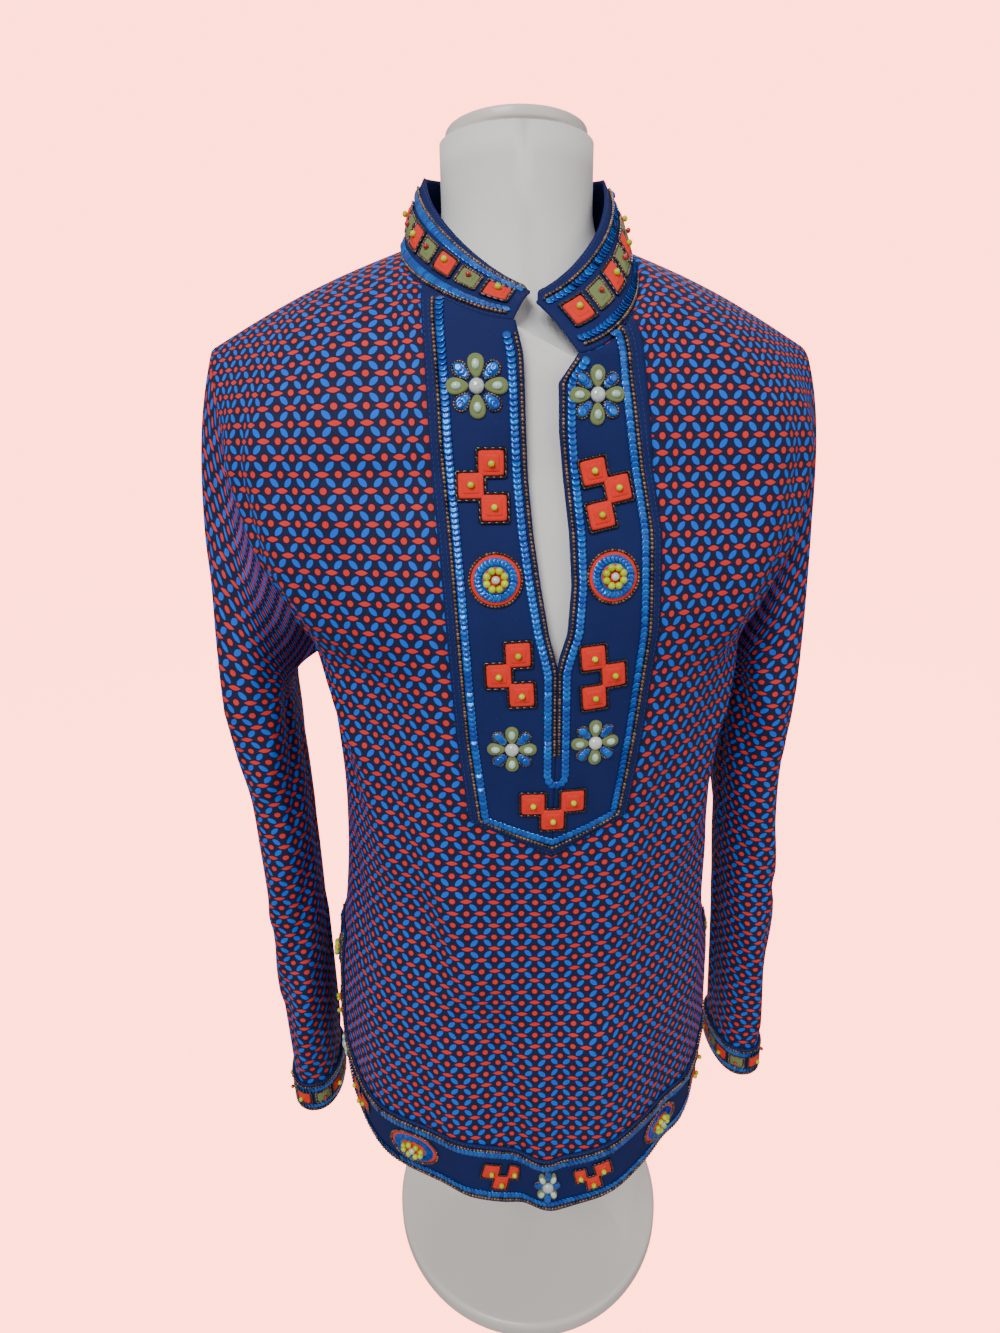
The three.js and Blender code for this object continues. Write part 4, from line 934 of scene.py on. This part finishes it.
YOKE_ROWS, TAIL_ROWS, COLUMNS = 44, 30, 56
SHOULDER_BAND = 70.0        # within this height of the tips the wall is turned in at its seams
SHOULDER_LIP = 1.3          # and is this thick


def panel_rows():
    """The panel's rows: a function of the column for each, giving its continuous row."""
    yoke = np.linspace(0, 1, YOKE_ROWS)[:-1]
    body = row_of(levels(CHEST_Z, SLIT_BOTTOM_Z, ARMPIT_Z, VENT_Z, TAIL_Z))
    tail = np.linspace(0, 1, TAIL_ROWS + 1)[1:]
    s = np.linspace(0, 1, COLUMNS)
    rows = [np.full(COLUMNS, v) for v in np.concatenate([yoke, body])]
    rows += [row_of(mix(TAIL_Z, hem_z(s), t)) for t in tail]
    return s, np.array(rows)


def cloth_uv(at, flat, chest_row, side):
    """Places in the print's cells: across from the grain line, and down from the chest."""
    across = run_across(flat)
    across[:chest_row] = across[chest_row] + side * (flat[:chest_row, :, 0] - flat[chest_row, :, 0])
    rise = np.linalg.norm(np.diff(at[: chest_row + 1], axis=0), axis=-1)
    up = np.concatenate([np.cumsum(rise[::-1], axis=0)[::-1], np.zeros((1, at.shape[1]))])
    height = np.concatenate([up, at[chest_row + 1:, :, 2] - CHEST_Z])
    return np.stack([side * across, height], -1) / PRINT_CELL


def panel_piece(sign):
    """The front's (sign -1) or the back's (1) wall, both halves in one sheet."""
    s, v = panel_rows()
    chest_row = YOKE_ROWS - 1
    parts, faces, uvs, start = [], [], [], 0
    for side in (-1, 1):
        at = panel(sign, side, s[None], v)
        flat = panel(sign, side, s[None], v, shifted=False)
        parts.append(at.reshape(-1, 3))
        faces.append(grid_faces(*v.shape, flip=side * sign > 0) + start)
        uvs.append(cloth_uv(at, flat, chest_row, side).reshape(-1, 2))
        start += v.size
    at, quads, uv = welded(np.concatenate(parts), np.concatenate(faces), np.concatenate(uvs))
    lip = CLOTH - np.where(np.abs(at[:, 2]) < SHOULDER_BAND, SHOULDER_LIP, SHEER)
    return shell(at, quads, uv, CLOTH, lip)


def printed(name, piece, node):
    """A piece of printed cloth that stands for a node."""
    at, faces, uv = piece
    return make(name, at, faces, PRINT, "print_cloth", uv=uv, replaces=(node,))


def navy_band(name, node, piece):
    """A plain navy band that stands for a node."""
    return make(name, *piece[:2], NAVY, "navy_cloth", replaces=(node,))


FRONT = printed("front_cloth", panel_piece(-1), "front")
BACK = printed("back_cloth", panel_piece(1), "back")


# ------------------------ sleeves

ARMHOLE_ROWS = row_of(np.array([CHEST_Z, -98, -122, -146, -166, SLIT_BOTTOM_Z, ARMPIT_Z]))
ARMHOLE_ROWS = np.concatenate([[0, 0.12, 0.26, 0.42, 0.6, 0.8], ARMHOLE_ROWS])
LOOP = 2 * (len(ARMHOLE_ROWS) - 1)
CAP_PUFF = (0.05, 0.14)     # how far the sleeve stands off the armhole: at the tip, elsewhere
CAP_PUFF_COLUMNS = 4
CAP_PUSH = (3.0, 8.0)       # how far it is pushed outward: at the tip, at the armpit
CAP_DROP, CAP_RISE = 0.16, 0.45     # how far it falls first, and comes down last, as shares
SEAM_PART = 0.5             # the underarm seam, where the sleeve's cloth begins and ends


def armhole_row(part):
    """The panels' row at a share of the way round the armhole."""
    column = (1 - np.abs(1 - 2 * (part % 1))) * LOOP / 2
    return np.interp(column, np.arange(len(ARMHOLE_ROWS)), ARMHOLE_ROWS)


def armhole(side, part):
    """The armhole at shares of the way round: the point, and the way off the panel."""
    q = 1 - np.abs(1 - 2 * (part % 1))
    v = armhole_row(part)
    front, back = panel(-1, side, 1.0, v), panel(1, side, 1.0, v)
    at = np.where((part % 1 <= 0.5)[:, None], front, back)
    ends = (np.abs(q) < 1e-6) | (np.abs(q - 1) < 1e-6)
    at[ends] = (front[ends] + back[ends]) / 2
    nodes = np.arange(LOOP + 1)
    ways = np.zeros((LOOP + 1, 3))
    for k, row in enumerate(armhole_row(nodes / LOOP)):
        sign = -1 if k <= LOOP / 2 else 1
        normal = panel_normal(sign, side, 1.0, row)
        way = panel(sign, side, 1.0, row) - panel(sign, side, 0.96, row)
        ways[k] = unit(way - normal * np.dot(way, normal))
    ways[0] = ways[-1] = unit(np.array([side, 0, -0.2]))
    ways[LOOP // 2] = unit(np.array([side, 0, -0.6]))
    return at, unit(at_run((part % 1) * LOOP, nodes, ways))


def sleeve_ring(side, part, z):
    """A level ring's point and outward normal."""
    arm = "right" if side < 0 else "left"
    cx, cy, hx, hy = (read(SLEEVE, name, z) for name in (arm, "cy", "hx", "hy"))
    angle = 2 * np.pi * part
    even = angle - 0.28 * np.sin(2 * angle)
    x = cx + hx * np.sign(np.cos(even)) * np.abs(np.cos(even)) ** 0.85
    y = cy - hy * np.sign(np.sin(even)) * np.abs(np.sin(even)) ** 0.85
    return points(side * x, y, z), unit(points(side * (x - cx) / hx**2, (y - cy) / hy**2, 0 * z))


def sleeve_folds(side, part, z):
    """Folds of one sleeve; the other's are shifted, so that the two aren't alike."""
    part = part % 1
    shift = 0.0 if side < 0 else 0.02
    rise = sum(fold_rise(SLEEVE_FOLDS, part + wrap + shift, z - 14 * (side > 0))
               for wrap in (-1, 0, 1))
    fade = smooth((z - SLEEVE_END_Z - CUFF) / 26)
    return rise * fade * (1.0 if side < 0 else 0.9)


SLEEVE_COLUMNS, CAP_ROWS = 121, 34


def sleeve_piece(side):
    """A sleeve's wall: a cap swept from the armhole to a level ring, then rings to the cuff."""
    turn = np.linspace(0, 1, SLEEVE_COLUMNS)
    part = SEAM_PART + turn
    cap = np.linspace(0, 1, CAP_ROWS)
    rings = levels(SLEEVE_TOP_Z, SLEEVE_END_Z, step=3.8)[1:]
    edge, away = armhole(side, part)
    foot, _ = sleeve_ring(side, part, SLEEVE_TOP_Z)
    start = edge + away * (SEAM + 0.15)
    reach = np.linalg.norm(start - foot, axis=-1, keepdims=True)
    from_tip = (1 - np.abs(1 - 2 * (part % 1))) * LOOP / 2
    puff = mix(*CAP_PUFF, smooth(from_tip / CAP_PUFF_COLUMNS))[:, None]
    push = mix(*CAP_PUSH, smooth(4 * from_tip / LOOP - 1))[:, None]
    first = start + away * puff * reach + np.concatenate([side * push, 0 * reach, -CAP_DROP * reach], -1)
    second = foot + np.concatenate([0 * reach, 0 * reach, CAP_RISE * reach], -1)
    at = np.concatenate([bezier(start, first, second, foot, cap[:, None]),
                         sleeve_ring(side, part, rings[:, None])[0]])
    quads = grid_faces(*at.shape[:2], flip=side > 0)
    normal = vertex_normals(at.reshape(-1, 3), quads).reshape(at.shape)
    share = smooth(np.concatenate([cap, np.ones(len(rings))]) * 2.2)[:, None]
    seam_fade = smooth(np.minimum(turn, 1 - turn) * 25)
    at = at + normal * (sleeve_folds(side, part, at[..., 2]) * share * seam_fade)[..., None]
    across = run_across(at)
    across -= across[:, SLEEVE_COLUMNS // 2, None]
    climb = np.linalg.norm(np.diff(at[:CAP_ROWS], axis=0), axis=-1).mean(1)
    up = np.append(np.cumsum(climb[::-1])[::-1], 0)[:, None] + 0 * across[:CAP_ROWS]
    height = np.concatenate([up, at[CAP_ROWS:, :, 2] - SLEEVE_TOP_Z])
    uv = np.stack([side * across, height], -1).reshape(-1, 2) / PRINT_CELL
    inner = np.full(at.shape[:2], CLOTH - SHEER)
    inner[0] = -1.0
    return shell(at.reshape(-1, 3), quads, uv, CLOTH, inner)


SIDES = {"right": -1, "left": 1}
SLEEVES = {name: printed(f"sleeve_{name}_cloth", sleeve_piece(side), f"sleeve_{name}")
           for name, side in SIDES.items()}


# ------------------------ cuff bands

CUFF_SQUARES = 12
CUFF_COLUMNS, CUFF_ROWS = 97, 12


def cuff(name, side):
    """The navy band at a sleeve's end, with its bead rows and squares."""
    part = SEAM_PART + np.linspace(0, 1, CUFF_COLUMNS)
    steps = SLEEVE_END_Z + np.linspace(CUFF, 0, CUFF_ROWS)
    at = sleeve_ring(side, part, steps[:, None])[0].reshape(-1, 3)
    wall = welded(at, grid_faces(CUFF_ROWS, CUFF_COLUMNS, flip=side > 0), np.zeros((len(at), 2)))
    band = navy_band(f"cuff_{name}_cloth", f"cuff_band_{name}", shell(*wall, BAND_FACE, CLOTH + SEAM))
    share = np.linspace(0, 1, 400)
    run = run_along(sleeve_ring(side, share, SLEEVE_END_Z + CUFF / 2)[0])
    whole = run[-1]

    def place(a, b):
        at, normal = sleeve_ring(side, np.interp(a % whole, run, share), SLEEVE_END_Z + b)
        return at + normal * BAND_FACE, normal

    trim = Trim(f"cuff_{name}", place)
    trim.rows(0, whole * 0.9999, (2.6, CUFF - 2.6), (5.9, CUFF - 5.9), (1.0, CUFF - 1.0), 2.0, 4.2, 2.8)
    for k in range(CUFF_SQUARES):
        kind = red_square if k % 2 == 0 else sage_square
        kind(trim, (k + 0.5) * whole / CUFF_SQUARES, CUFF / 2, 11.0)
    return band, trim.finish()


CUFFS = {name: cuff(name, side) for name, side in SIDES.items()}


# ------------------------ placket

BINDING = 0.5               # how far the placket's cloth is turned in round the slit's edges
PLACKET_BEADS, PLACKET_SEQUINS = 6.6, 10.2  # in from its outer edge
SLIT_BEADS, SLIT_SEQUINS = 1.5, 5.9         # away from the slit's edges


def placket_half(side, z):
    """How far the placket's outer edge lies from the centre."""
    return read_straight(PLACKET, "left" if side < 0 else "right", z)


def placket_piece():
    """The placket's wall: rows from the neck seam down to its point, turned in at the slit."""
    yoke = np.linspace(0.035, 1, 40)[:-1]
    heights = levels(CHEST_Z, SLIT_BOTTOM_Z, PLACKET_LAST_Z, step=3.0)
    tips = np.linspace(0, 1, 12)[1:]
    part = np.linspace(0, 1, 26)
    upper = np.concatenate([yoke, row_of(heights)])
    inner = np.where(upper < row_of(SLIT_BOTTOM_Z) - 1e-4, -BINDING / QUARTER, 0.0)
    parts, faces, start = [], [], 0
    for side in (-1, 1):
        guide = np.concatenate([mix(collar_end(side, "foot_z"), CHEST_Z, yoke), heights])
        outer = front_column(side, upper, placket_half(side, guide))
        low = row_of(mix(PLACKET_LAST_Z, mix(PLACKET_TIP_Z, PLACKET_CORNER_Z, part), tips[:, None]))
        half = placket_half(side, mix(PLACKET_LAST_Z, PLACKET_CORNER_Z, tips))[:, None]
        s = np.concatenate([mix(inner[:, None], outer[:, None], part),
                            front_column(side, low, half) * part])
        v = np.concatenate([upper[:, None] + 0 * part, low])
        parts.append(panel(-1, side, s, v).reshape(-1, 3))
        faces.append(grid_faces(*s.shape, flip=side < 0) + start)
        start += s.size
    at = np.concatenate(parts)
    bound = np.tile(part == 0, len(at) // len(part)) & (at[:, 2] > SLIT_BOTTOM_Z + 4)
    at, quads, uv = welded(at, np.concatenate(faces), np.stack([bound, bound], -1).astype(float))
    return shell(at, quads, uv, BAND_FACE, np.where(uv[:, 0] > 0.5, -0.3, CLOTH + SEAM))


def outer_line(inset):
    """The placket's outer edge, moved inward: down one side, to the point and up the other."""
    z = np.linspace(14, PLACKET_CORNER_Z + inset * 0.25, 40)
    down = np.stack([inset - placket_half(-1, z), z], -1)
    up = np.stack([placket_half(1, z) - inset, z], -1)[::-1]
    tip = np.array([[SLIT_CENTRE - 1.5, PLACKET_TIP_Z + inset * 1.14]])
    return np.concatenate([down, tip, up])


def slit_line(side, inset, foot):
    """Along one edge of the slit and on below it to a foot, moved off the edge."""
    column = "left" if side < 0 else "right"
    z = np.linspace(-5.0 if side < 0 else -18.0, SLIT_BOTTOM_Z + 4, 40)
    x = read_straight(SLIT, column, z) + side * inset
    below = np.array([[SLIT_CENTRE + side * inset * 0.9, SLIT_BOTTOM_Z - 4],
                      [SLIT_CENTRE + side * inset * 0.9, foot]])
    return np.concatenate([np.stack([x, z], -1), below])


PLACKET_CLOTH = navy_band("placket_cloth", "placket", placket_piece())


def placket_trim():
    """The rows along the placket's edges and the slit, and the motifs between them."""
    chart = charted(front_place, np.arange(-76.0, 82.0, 1.0), np.arange(-316.0, 34.0, 1.6))
    trim = Trim("placket", chart)
    trim.beads(outer_line(PLACKET_BEADS))
    trim.sequins(outer_line(PLACKET_SEQUINS))
    for inset in (1.6, 4.4):
        trim.stitches(outer_line(inset))
    for side in (-1, 1):
        trim.beads(slit_line(side, SLIT_BEADS, -238.0), 2.1)
        trim.sequins(slit_line(side, SLIT_SEQUINS, -252.0))
    inset = SLIT_SEQUINS * 0.9
    trim.sequins([(SLIT_CENTRE - inset, -253), (SLIT_CENTRE - 2.4, -257), (SLIT_CENTRE + 2.4, -257),
                  (SLIT_CENTRE + inset, -253)])
    for x, z, size in ((-38, -31, 33), (26, -36, 31), (-23, -233, 29), (26, -231, 29)):
        flower(trim, x, z, size)
    for x, z, facing, angle in ((-43, -82, 1, 0.0), (38, -85, -1, 0.2), (-30, -187, 1, 0.04),
                                (36, -189, -1, 0.08)):
        step_motif(trim, x, z, facing, angle)
    for x in (-31, 35):
        medallion(trim, x, -132.5)
    step_motif(trim, 1.2, -281.0, 1, RIGHT_ANGLE)
    return trim.finish()


PLACKET_TRIM = placket_trim()


# ------------------------ hem and vent bands

EDGE_STEPS = 361
EDGE_BLUR = 4               # steps either way over which the way inward is averaged


def free_edge():
    """A panel's free edge in the flat, down one vent, round the hem and up the other, with
    the way inward: places, directions and the distance run."""
    s = np.linspace(1, 0, 160)
    half = np.stack([-s * QUARTER, hem_z(s)], -1)
    hem = np.concatenate([half, (half * (-1, 1))[::-1][1:]])
    vent = np.stack([np.full(14, -QUARTER), np.linspace(VENT_Z - 1, CORNER_Z, 15)[:-1]], -1)
    path = np.concatenate([vent, hem, (vent * (-1, 1))[::-1]])
    run = run_along(path)
    even = np.linspace(0, run[-1], EDGE_STEPS)
    path = at_run(even, run, path)
    way = np.gradient(path, axis=0)
    padded = np.pad(way, ((EDGE_BLUR, EDGE_BLUR), (0, 0)), mode="edge")
    kernel = np.ones(2 * EDGE_BLUR + 1) / (2 * EDGE_BLUR + 1)
    way = np.stack([np.convolve(column, kernel, "valid") for column in padded.T], -1)
    inward = unit(np.stack([-way[:, 1], way[:, 0]], -1))
    return path, inward, even


EDGE_PATH, EDGE_INWARD, EDGE_RUN = free_edge()


def on_hem(sign, a, b, lift):
    """A place on a panel at a run along its free edge and a distance in from it."""
    flat = at_run(a, EDGE_RUN, EDGE_PATH) + at_run(a, EDGE_RUN, EDGE_INWARD) * np.asarray(b)[..., None]
    side = np.where(flat[..., 0] < 0, -1.0, 1.0)
    s, v = np.clip(np.abs(flat[..., 0]) / QUARTER, 0, 1), row_of(flat[..., 1])
    normal = panel_normal(sign, side, s, v)
    return panel(sign, side, s, v) + normal * lift, normal


HEM_MOTIFS = 13


def hem_band(name, sign):
    """The navy band along a panel's free edge, with its bead rows and motifs."""
    whole = EDGE_RUN[-1]
    a, b = np.meshgrid(np.linspace(0.6, whole - 0.6, 260), np.linspace(1.2, HEM_BAND, 18))
    at, _ = on_hem(sign, a, b, 0.0)
    quads = grid_faces(*a.shape, flip=sign < 0)
    piece = shell(at.reshape(-1, 3), quads, np.zeros((a.size, 2)), BAND_FACE, CLOTH + SEAM)
    band = navy_band(f"hem_band_{name}_cloth", f"hem_band_{name}", piece)

    trim = Trim(f"hem_{name}", charted(lambda a, b: on_hem(sign, a, b, BAND_FACE),
                                       np.linspace(0, whole, 420), np.linspace(0, HEM_BAND + 2, 22)))
    trim.rows(3.0, whole - 3.0, (4.6, HEM_BAND - 3.4), (8.3, HEM_BAND - 7.1), (2.2, HEM_BAND - 1.2))
    middle = HEM_BAND / 2 + 0.6
    for k in range(HEM_MOTIFS):
        a = (k + 0.5) * whole / HEM_MOTIFS
        turn = min(k, HEM_MOTIFS - 1 - k) % 4
        if turn == 0:
            medallion(trim, a, middle, 27.0)
        elif turn == 2:
            flower(trim, a, middle, 31.0, RIGHT_ANGLE / 2)
        else:
            step_motif(trim, a, middle - 6.0, 1, RIGHT_ANGLE, 0.8)
    return band, trim.finish()


HEM_BANDS = [hem_band("front", -1), hem_band("back", 1)]


# ------------------------ collar

def collar_surface(u, h):
    """The collar's inside face: u runs from the left front end round the back to the right
    front end, h from the neck seam to the top edge."""
    u, h = np.broadcast_arrays(np.asarray(u, float), np.asarray(h, float))
    side = np.where(u < 0.5, -1.0, 1.0)
    from_end = np.minimum(u, 1 - u) * 2
    on_front = from_end <= COLLAR_FRONT_PART
    turn = RIGHT_ANGLE * np.where(on_front, from_end / COLLAR_FRONT_PART,
                                  (1 - from_end) / (1 - COLLAR_FRONT_PART))
    s = NECK_COLUMN * turn / RIGHT_ANGLE
    feet = []
    for sign in (-1, 1):
        top, below = panel(sign, side, s, 0 * s), panel(sign, side, s, 0 * s + 0.12)
        normal = panel_normal(sign, side, s, 0 * s)
        away = top - below
        away = unit(away - normal * np.sum(away * normal, -1, keepdims=True))
        feet.append(top + away * COLLAR_SEAM)
    foot = np.where(on_front[..., None], feet[0], feet[1])
    size = COLLAR_TOP
    climb = (1 - np.cos(turn)) ** 0.75
    wide = side * size["half"] + size["lean"]
    front = points(mix(collar_end(side, "tip_x"), wide, np.sin(turn)),
                   mix(size["side_y"], collar_end(side, "tip_y"), np.cos(turn)),
                   mix(collar_end(side, "tip_z"), size["side_z"], climb))
    back = points(wide * np.sin(turn), mix(size["side_y"], size["back_y"], np.cos(turn)),
                  mix(size["side_z"], size["back_z"], np.cos(turn)))
    top = np.where(on_front[..., None], front, back)
    end_round = 1 - COLLAR_END_ROUND * (1 - smooth(np.minimum(u, 1 - u) / 0.02)) * h
    return mix(foot, top, (h * end_round)[..., None])


def collar_at(u, h, lift):
    """The same with the collar's outward bulge, lifted off, and the normal."""
    du, dh = 0.002, 0.02
    across = collar_surface(np.clip(u + du, 0, 1), h) - collar_surface(np.clip(u - du, 0, 1), h)
    up = collar_surface(u, np.clip(h + dh, 0, 1)) - collar_surface(u, np.clip(h - dh, 0, 1))
    normal = unit(np.cross(up, across))
    outward = np.sum(normal * collar_surface(u, 0 * h + 0.5) * (1, 1, 0), -1, keepdims=True) > 0
    normal = np.where(outward, normal, -normal)
    bulge = 2 * np.sin(np.pi * np.clip(h, 0, 1))
    return collar_surface(u, h) + normal * (bulge + lift)[..., None], normal


COLLAR_SQUARES = 24
COLLAR_FIRST = 15.0         # from a front end to the middle of its first square
COLLAR_COLUMNS, COLLAR_ROWS = 220, 22


def collar():
    """The stand collar with its bead rows and squares."""
    u, h = np.meshgrid(np.linspace(0, 1, COLLAR_COLUMNS), np.linspace(0, 1, COLLAR_ROWS))
    at = collar_at(u, h, 0 * u)[0].reshape(-1, 3)
    quads = grid_faces(*u.shape)
    band = navy_band("collar_cloth", "collar", shell(at, quads, np.zeros((u.size, 2)), CLOTH, 0.0))

    fine = np.linspace(0, 1, 500)
    run = run_along(collar_at(fine, 0 * fine + 0.5, 0 * fine)[0])
    whole = run[-1]

    def place(a, b):
        return collar_at(np.interp(a, run, fine), np.clip(b / COLLAR_HEIGHT, 0, 1), 0 * a + CLOTH)

    trim = Trim("collar", charted(place, np.linspace(0, whole, 320), np.linspace(0, COLLAR_HEIGHT, 24)))
    top, foot, end = COLLAR_HEIGHT - 6.6, 3.4, 4.0
    trim.rows(end, whole - end, (foot,), (foot + 3.8,))
    trim.rows(end - 1.0, whole - end + 1.0, (top,))
    trim.rows(end, whole - end, (), (top - 3.7,), (1.2, COLLAR_HEIGHT - 1.5))
    for k in range(COLLAR_SQUARES):
        kind = red_square if min(k, COLLAR_SQUARES - 1 - k) % 2 == 0 else sage_square
        a = mix(COLLAR_FIRST, whole - COLLAR_FIRST, k / (COLLAR_SQUARES - 1))
        kind(trim, a, COLLAR_HEIGHT / 2 - 1.0, 14.6)
    return band, trim.finish()


COLLAR, COLLAR_TRIM = collar()


# ------------------------ dress form

def ring_faces(low, high):
    """Quads between two closed rings of point numbers."""
    return [(low[j - 1], high[j - 1], high[j], low[j]) for j in range(len(low))]


def form_torso():
    """The padded form: rings inside the cloth, plates at the arms, a neck and a flat foot."""
    half_columns = np.linspace(0, 1, 34)
    rows = np.concatenate([np.linspace(0.12, 1, 24)[:-1], row_of(levels(CHEST_Z, FORM_FOOT_Z, step=7))])
    columns = []
    for sign in (-1, 1):
        columns += [(sign, sign, s) for s in half_columns[::-1]]
        columns += [(sign, -sign, s) for s in half_columns[(0 if sign < 0 else 1):]]
    below = rows >= 1
    body_inset = read(BODY, "inset", CHEST_Z - 100 * (rows - 1))
    at = np.zeros((len(rows), len(columns), 3))
    ridge = np.zeros((len(columns), 3))
    for j, (sign, side, s) in enumerate(columns):
        yoke_inset = mix(FORM_INSET_ARM if s > NECK_COLUMN else FORM_INSET_NECK,
                         BODY["inset"][0], np.minimum(rows, 1))
        inset = np.where(below, body_inset, yoke_inset)
        out = panel_normal(sign, np.full(len(rows), float(side)), s + 0 * rows, rows)
        at[:, j] = panel(sign, side, s, rows) - out * inset[:, None]
        if s == 0:
            at[CHEST_Z - 100 * (rows - 1) <= SLIT_BOTTOM_Z, j, 0] = 0
        top = top_point(sign, np.float64(side), np.float64(s))
        if s > NECK_COLUMN:
            ridge[j] = (top[0] - side * 0.2, 0, top[2] - 0.45)
            continue
        if sign < 0:
            top[0] += slit_shift(side, s, top[2])
        ridge[j] = top - 3 * unit(top * (1, 1, 0)) - (0, 0, 1.5)
    at[below, :, 2] = (CHEST_Z - 100 * (rows[below] - 1))[:, None]

    count = len(columns)
    rings = [list(range(i * count, (i + 1) * count)) for i in range(len(rows) + 1)]
    faces = [face for low, high in zip(rings, rings[1:]) for face in ring_faces(low, high)]
    foot = len(rings) * count
    faces += [(foot, rings[-1][j], rings[-1][j - 1]) for j in range(count)]
    verts = [ridge, *at, [[0, 0, FORM_FOOT_Z]]]

    neck = [j for j, (_, _, s) in enumerate(columns) if s <= NECK_COLUMN]
    size, rise = FORM_NECK, ridge[neck]
    signs, sides, shares = np.array([columns[j] for j in neck]).T
    turns = RIGHT_ANGLE * shares / NECK_COLUMN
    reach = np.where(signs < 0, size["front_y"], size["back_y"])
    base = points(size["x"] + sides * size["half"] * np.sin(turns), reach * np.cos(turns), size["base_z"])
    first = points(*(mix(rise[:, k], base[:, k], 0.5) for k in (0, 1)), rise[:, 2] + 5)
    second = points(base[:, 0], base[:, 1], mix(rise[:, 2], size["base_z"], 0.4))
    climb = [bezier(rise, first, second, base, level) for level in np.linspace(0.08, 1, 14)]
    climb += [points(base[:, 0], base[:, 1], mix(size["base_z"], size["top_z"], t)) for t in (0.5, 1)]
    made = foot + 1
    for _ in climb:
        current = list(range(made, made + len(neck)))
        faces += ring_faces(current, neck)
        neck, made = current, made + len(neck)
    faces += [(made, neck[j - 1], neck[j]) for j in range(len(neck))]
    return np.concatenate([*verts, *climb, [[size["x"], 1, size["top_z"]]]]), faces


FORM = make("form_torso_cover", *form_torso(), COVER, "form_cover", replaces=("form_torso",))


def rounded_disc(radius, low, high, edge, steps=5):
    """The profile of a disc with a rounded rim, as (height, radius) pairs."""
    turn = np.linspace(0, RIGHT_ANGLE, steps)
    under = [(low + edge - edge * math.cos(t), radius - edge + edge * math.sin(t)) for t in turn]
    over = [(high - edge + edge * math.sin(t), radius - edge + edge * math.cos(t)) for t in turn]
    return [(low, 0), *under, *over, (high, 0)]


for stand_node, rim in (("form_cap", 2.0), ("form_pole", 0.6), ("form_base", 4.0)):
    stand_low, stand_high = (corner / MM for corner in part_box(stand_node))
    disc = rounded_disc((stand_high.x - stand_low.x) / 2, stand_low.z, stand_high.z, rim)
    turned_at, turned_quads, turned_tris = turned(disc, 96, 2)
    turned_at += (*((stand_high + stand_low) / 2).xy, -SHOULDER_Z)
    make(f"{stand_node}_turned", turned_at, turned_quads.tolist() + turned_tris.tolist(), STEEL,
         "painted_steel", replaces=(stand_node,))


# ------------------------ floor, light and camera

PALE = (1.0, 0.27, 0.195)
GLOW = 8.0                  # light of the backdrop's own
SWEEP_START, SWEEP_RADIUS = 3.6, 1.5    # metres to where the floor turns up, and its turn
WALL_TOP = 9.0
SWEEP_SIDES = 96
CAMERA_AT = Vector((-0.0593, -0.5116, 0.7228))
CAMERA_AHEAD = Vector((0.0732, 0.9486, -0.3080))
CAMERA_ROLL = math.radians(-0.83)
CAMERA_LENS = 19.0


def backdrop():
    """A pale cove all round: level floor, round turn and wall, glowing, which lights nothing."""
    shader = Shader("floor_look")
    cloud = shader.noise(3, 2)
    base = shader.mixed(cloud, colour(*PALE), colour(*(c * 0.985 for c in PALE)))
    look = shader.finish(Base_Color=base, Roughness=0.95, Emission_Color=colour(*PALE),
                         Emission_Strength=GLOW)
    turn = np.linspace(0, RIGHT_ANGLE, 17)
    wall = SWEEP_START + SWEEP_RADIUS
    reach = np.concatenate([[0.0], SWEEP_START + SWEEP_RADIUS * np.sin(turn), [wall]])
    height = np.concatenate([[0.0], SWEEP_RADIUS * (1 - np.cos(turn)), [WALL_TOP]])
    angle = np.linspace(0, 2 * np.pi, SWEEP_SIDES + 1)
    at = np.stack([np.outer(reach, np.cos(angle)), np.outer(reach, np.sin(angle)),
                   np.outer(height, np.ones(len(angle)))], -1)
    mesh = bpy.data.meshes.new("floor")
    mesh.from_pydata(at.reshape(-1, 3).tolist(), [], grid_faces(len(reach), len(angle)).tolist())
    mesh.materials.append(look)
    for face in mesh.polygons:
        face.use_smooth = True
    floor = bpy.data.objects.new("floor", mesh)
    bpy.context.scene.collection.objects.link(floor)
    floor.visible_diffuse = floor.visible_glossy = floor.visible_shadow = False


def studio():
    backdrop()
    world = bpy.data.worlds.new("studio")
    world.use_nodes = True
    background = world.node_tree.nodes["Background"]
    background.inputs["Color"].default_value = colour(0.97, 0.86, 0.82)
    background.inputs["Strength"].default_value = 0.36
    bpy.context.scene.world = world
    for name, place, energy, size in (
            ("key", (-0.9, -1.7, 2.1), 45, 1.1), ("fill", (1.5, -1.4, 1.2), 9, 1.6),
            ("back", (0.3, 1.7, 1.9), 16, 1.4)):
        lamp = bpy.data.lights.new(name, "AREA")
        lamp.energy, lamp.size = energy, size
        lamp.color = (1.0, 0.97, 0.94)
        light = bpy.data.objects.new(name, lamp)
        light.location = place
        aim = Vector((0, 0, 0.55)) - Vector(place)
        light.rotation_euler = aim.to_track_quat("-Z", "Y").to_euler()
        bpy.context.scene.collection.objects.link(light)


def camera():
    data = bpy.data.cameras.new("camera")
    data.sensor_width = data.sensor_height = 36.0
    data.lens = CAMERA_LENS
    data.clip_start, data.clip_end = 0.01, 100
    made = bpy.data.objects.new("camera", data)
    ahead = CAMERA_AHEAD.normalized()
    right = ahead.cross(Vector((0, 0, 1))).normalized()
    up = right.cross(ahead)
    rolled = right * math.cos(CAMERA_ROLL) + up * math.sin(CAMERA_ROLL)
    rolled_up = up * math.cos(CAMERA_ROLL) - right * math.sin(CAMERA_ROLL)
    turn = Matrix((rolled, rolled_up, -ahead)).transposed().to_4x4()
    made.matrix_world = Matrix.Translation(CAMERA_AT) @ turn
    bpy.context.scene.collection.objects.link(made)
    bpy.context.scene.camera = made


studio()
camera()
